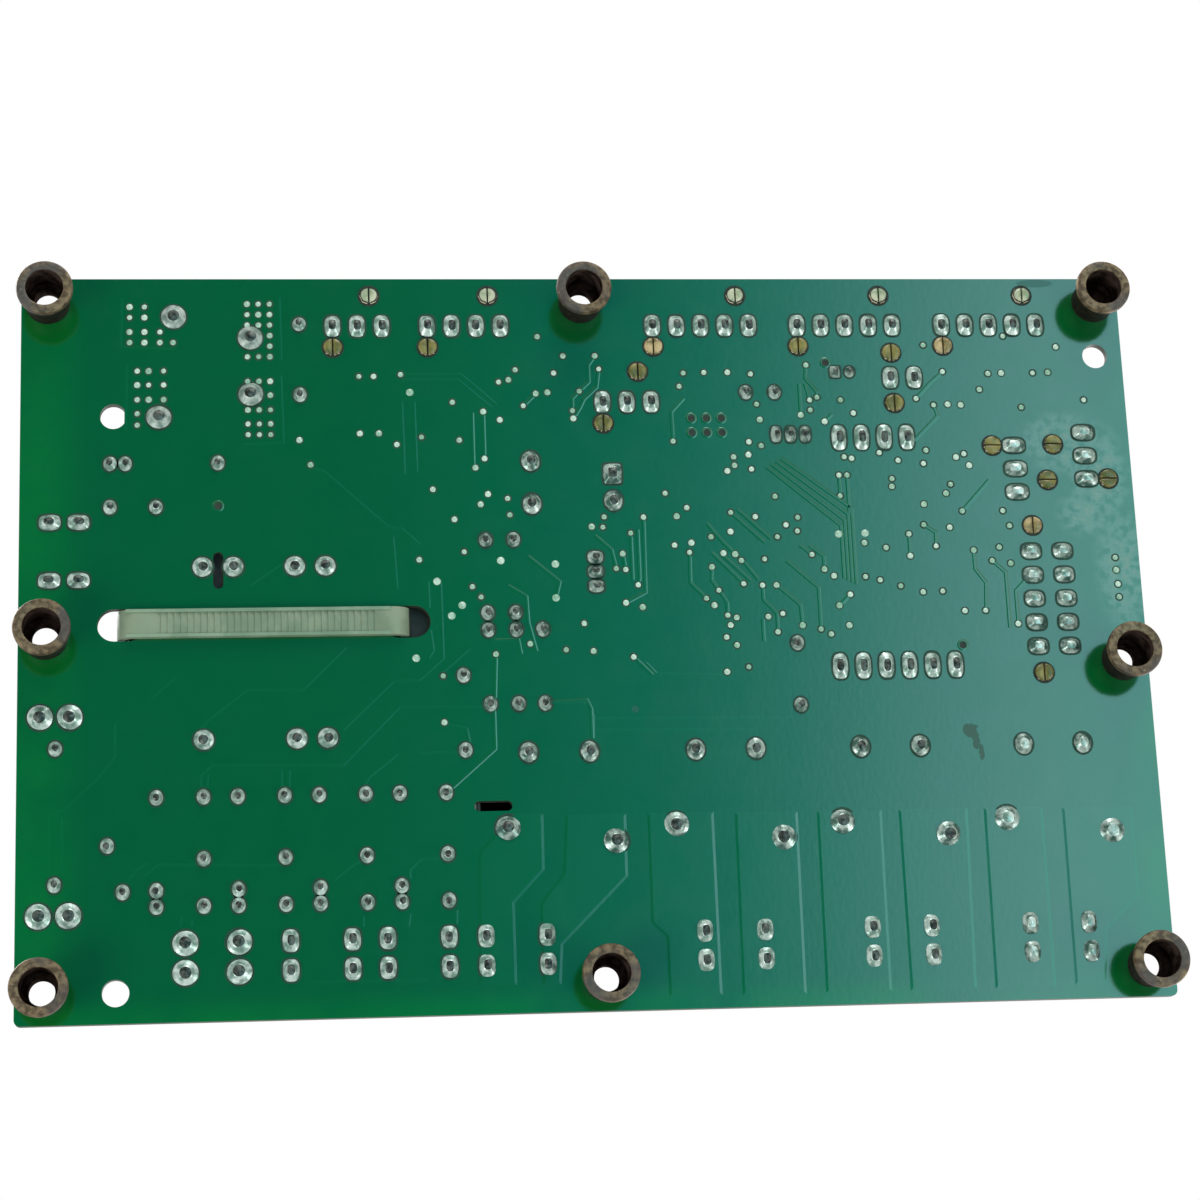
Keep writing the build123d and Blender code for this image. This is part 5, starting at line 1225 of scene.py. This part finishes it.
def floor_look():
    """Pale, and there only for the camera's look down at it, so light comes up through it."""
    mat = bpy.data.materials.new("floor")
    mat.use_nodes = True
    mat.node_tree.nodes.clear()
    diffuse = add_node(mat, "BsdfDiffuse", {"Color": (0.8, 0.8, 0.8)}).outputs["BSDF"]
    clear = add_node(mat, "BsdfTransparent", {}).outputs["BSDF"]
    path = add_node(mat, "LightPath", {}).outputs
    side = add_node(mat, "NewGeometry", {}).outputs
    seen = most(mat, arithmetic(mat, "SUBTRACT", path["Is Camera Ray"], side["Backfacing"]), 0.0)
    add_node(mat, "OutputMaterial", {"Surface": either(mat, seen, clear, diffuse)})
    return mat


def floor():
    """Plain floor under the feet."""
    mesh = bpy.data.meshes.new("floor")
    corners = rectangle(-FLOOR_SIZE, -FLOOR_SIZE, FLOOR_SIZE, FLOOR_SIZE)
    mesh.from_pydata([(x, y, 0) for x, y in corners], [], [[0, 1, 2, 3]])
    mesh.materials.append(floor_look())
    show("floor", mesh)


# What the flat board mirrors straight below: X of the direction, and colour
PANEL = [
    (0.033, (0.0, 0.28, 0.28)), (0.061, (0.0, 0.42, 0.43)), (0.1, (0.01, 0.46, 0.56)),
    (0.144, (0.03, 0.62, 0.88)), (0.172, (0.22, 1.00, 1.29)), (0.2, (0.57, 1.5, 1.9)),
    (0.227, (0.95, 1.86, 2.47)), (0.255, (1.32, 2.32, 2.88)), (0.272, (1.45, 2.6, 3.1)),
    (0.283, (0.85, 2.4, 2.6)), (0.32, (1.0, 2.6, 2.8)),
]
PANEL_START, PANEL_END = -0.1, 0.32


def panel_color(made, across):
    """Colour of the panel at an X of the direction."""
    values = {"Value": across, "From Min": PANEL_START, "From Max": PANEL_END}
    fac = add_node(made, "MapRange", values).outputs["Result"]
    panel = add_node(made, "ValToRGB", {"Fac": fac})
    while len(panel.color_ramp.elements) < len(PANEL):
        panel.color_ramp.elements.new(0.5)
    for element, (where, color) in zip(panel.color_ramp.elements, PANEL):
        element.position = (where - PANEL_START) / (PANEL_END - PANEL_START)
        element.color = (*color, 1)
    return panel.outputs["Color"]


def mirrored(made):
    """What reflections see: a room with patches, white above, and the panel straight below."""
    toward = add_node(made, "TexCoord", {}).outputs["Generated"]
    where = axes(made, toward)
    panel = panel_color(made, where["X"])
    patches = add_node(made, "TexNoise", {"Vector": toward, "Scale": 2.2, "Detail": 1.0}).outputs["Fac"]
    room = mix(made, ramp(made, patches, 0.42, 0.58), (0.3, 0.32, 0.31), (1.1, 1.1, 1.08))
    around = mix(made, ramp(made, where["Z"], 0.0, -0.3), (1.0, 1.0, 1.0), room)
    return mix(made, ramp(made, where["Z"], -0.8, -0.9), around, panel)


def world():
    """White background; even light; and for reflections a cool bright panel below, dark towards -X."""
    made = bpy.data.worlds.new("world")
    bpy.context.scene.world = made
    made.use_nodes = True
    made.node_tree.nodes.clear()
    path = add_node(made, "LightPath", {}).outputs
    soft, white, mirror = [
        add_node(made, "Background", {"Color": color, "Strength": strength}).outputs["Background"]
        for color, strength in (((1, 1, 1), 0.55), ((1, 1, 1), 1.0), (mirrored(made), 1.0))
    ]
    glossy = either(made, path["Is Glossy Ray"], soft, mirror)
    direct = most(made, path["Is Camera Ray"], path["Is Transmission Ray"])
    add_node(made, "OutputWorld", {"Surface": either(made, direct, glossy, white)})


def dress_all():
    for slot in NODES["circuit_board"].material_slots:
        slot.material = LOOKS["solder_mask"]
    for work in (solder_joints, vias, open_rings, copper, pegs, standoffs, connectors, blades, relays,
                 transformer, chokes):
        work()
    for can in ("large_capacitor", "medium_capacitor", "small_capacitor"):
        can_capacitor(can)
    axial_parts("diodes", DIODE, DIODE_RINGS, "black_moulding band_grey tinned_metal")
    axial_parts("resistors", RESISTOR, RESISTOR_RINGS, "resistor_coating band_dark tinned_metal")
    for work in (varistor, film_capacitors, fuse, standing_parts, chips, passives, legend):
        work()


bpy.context.scene.view_settings.view_transform = "Standard"
materials()
camera()
world()
lights()
floor()
dress_all()
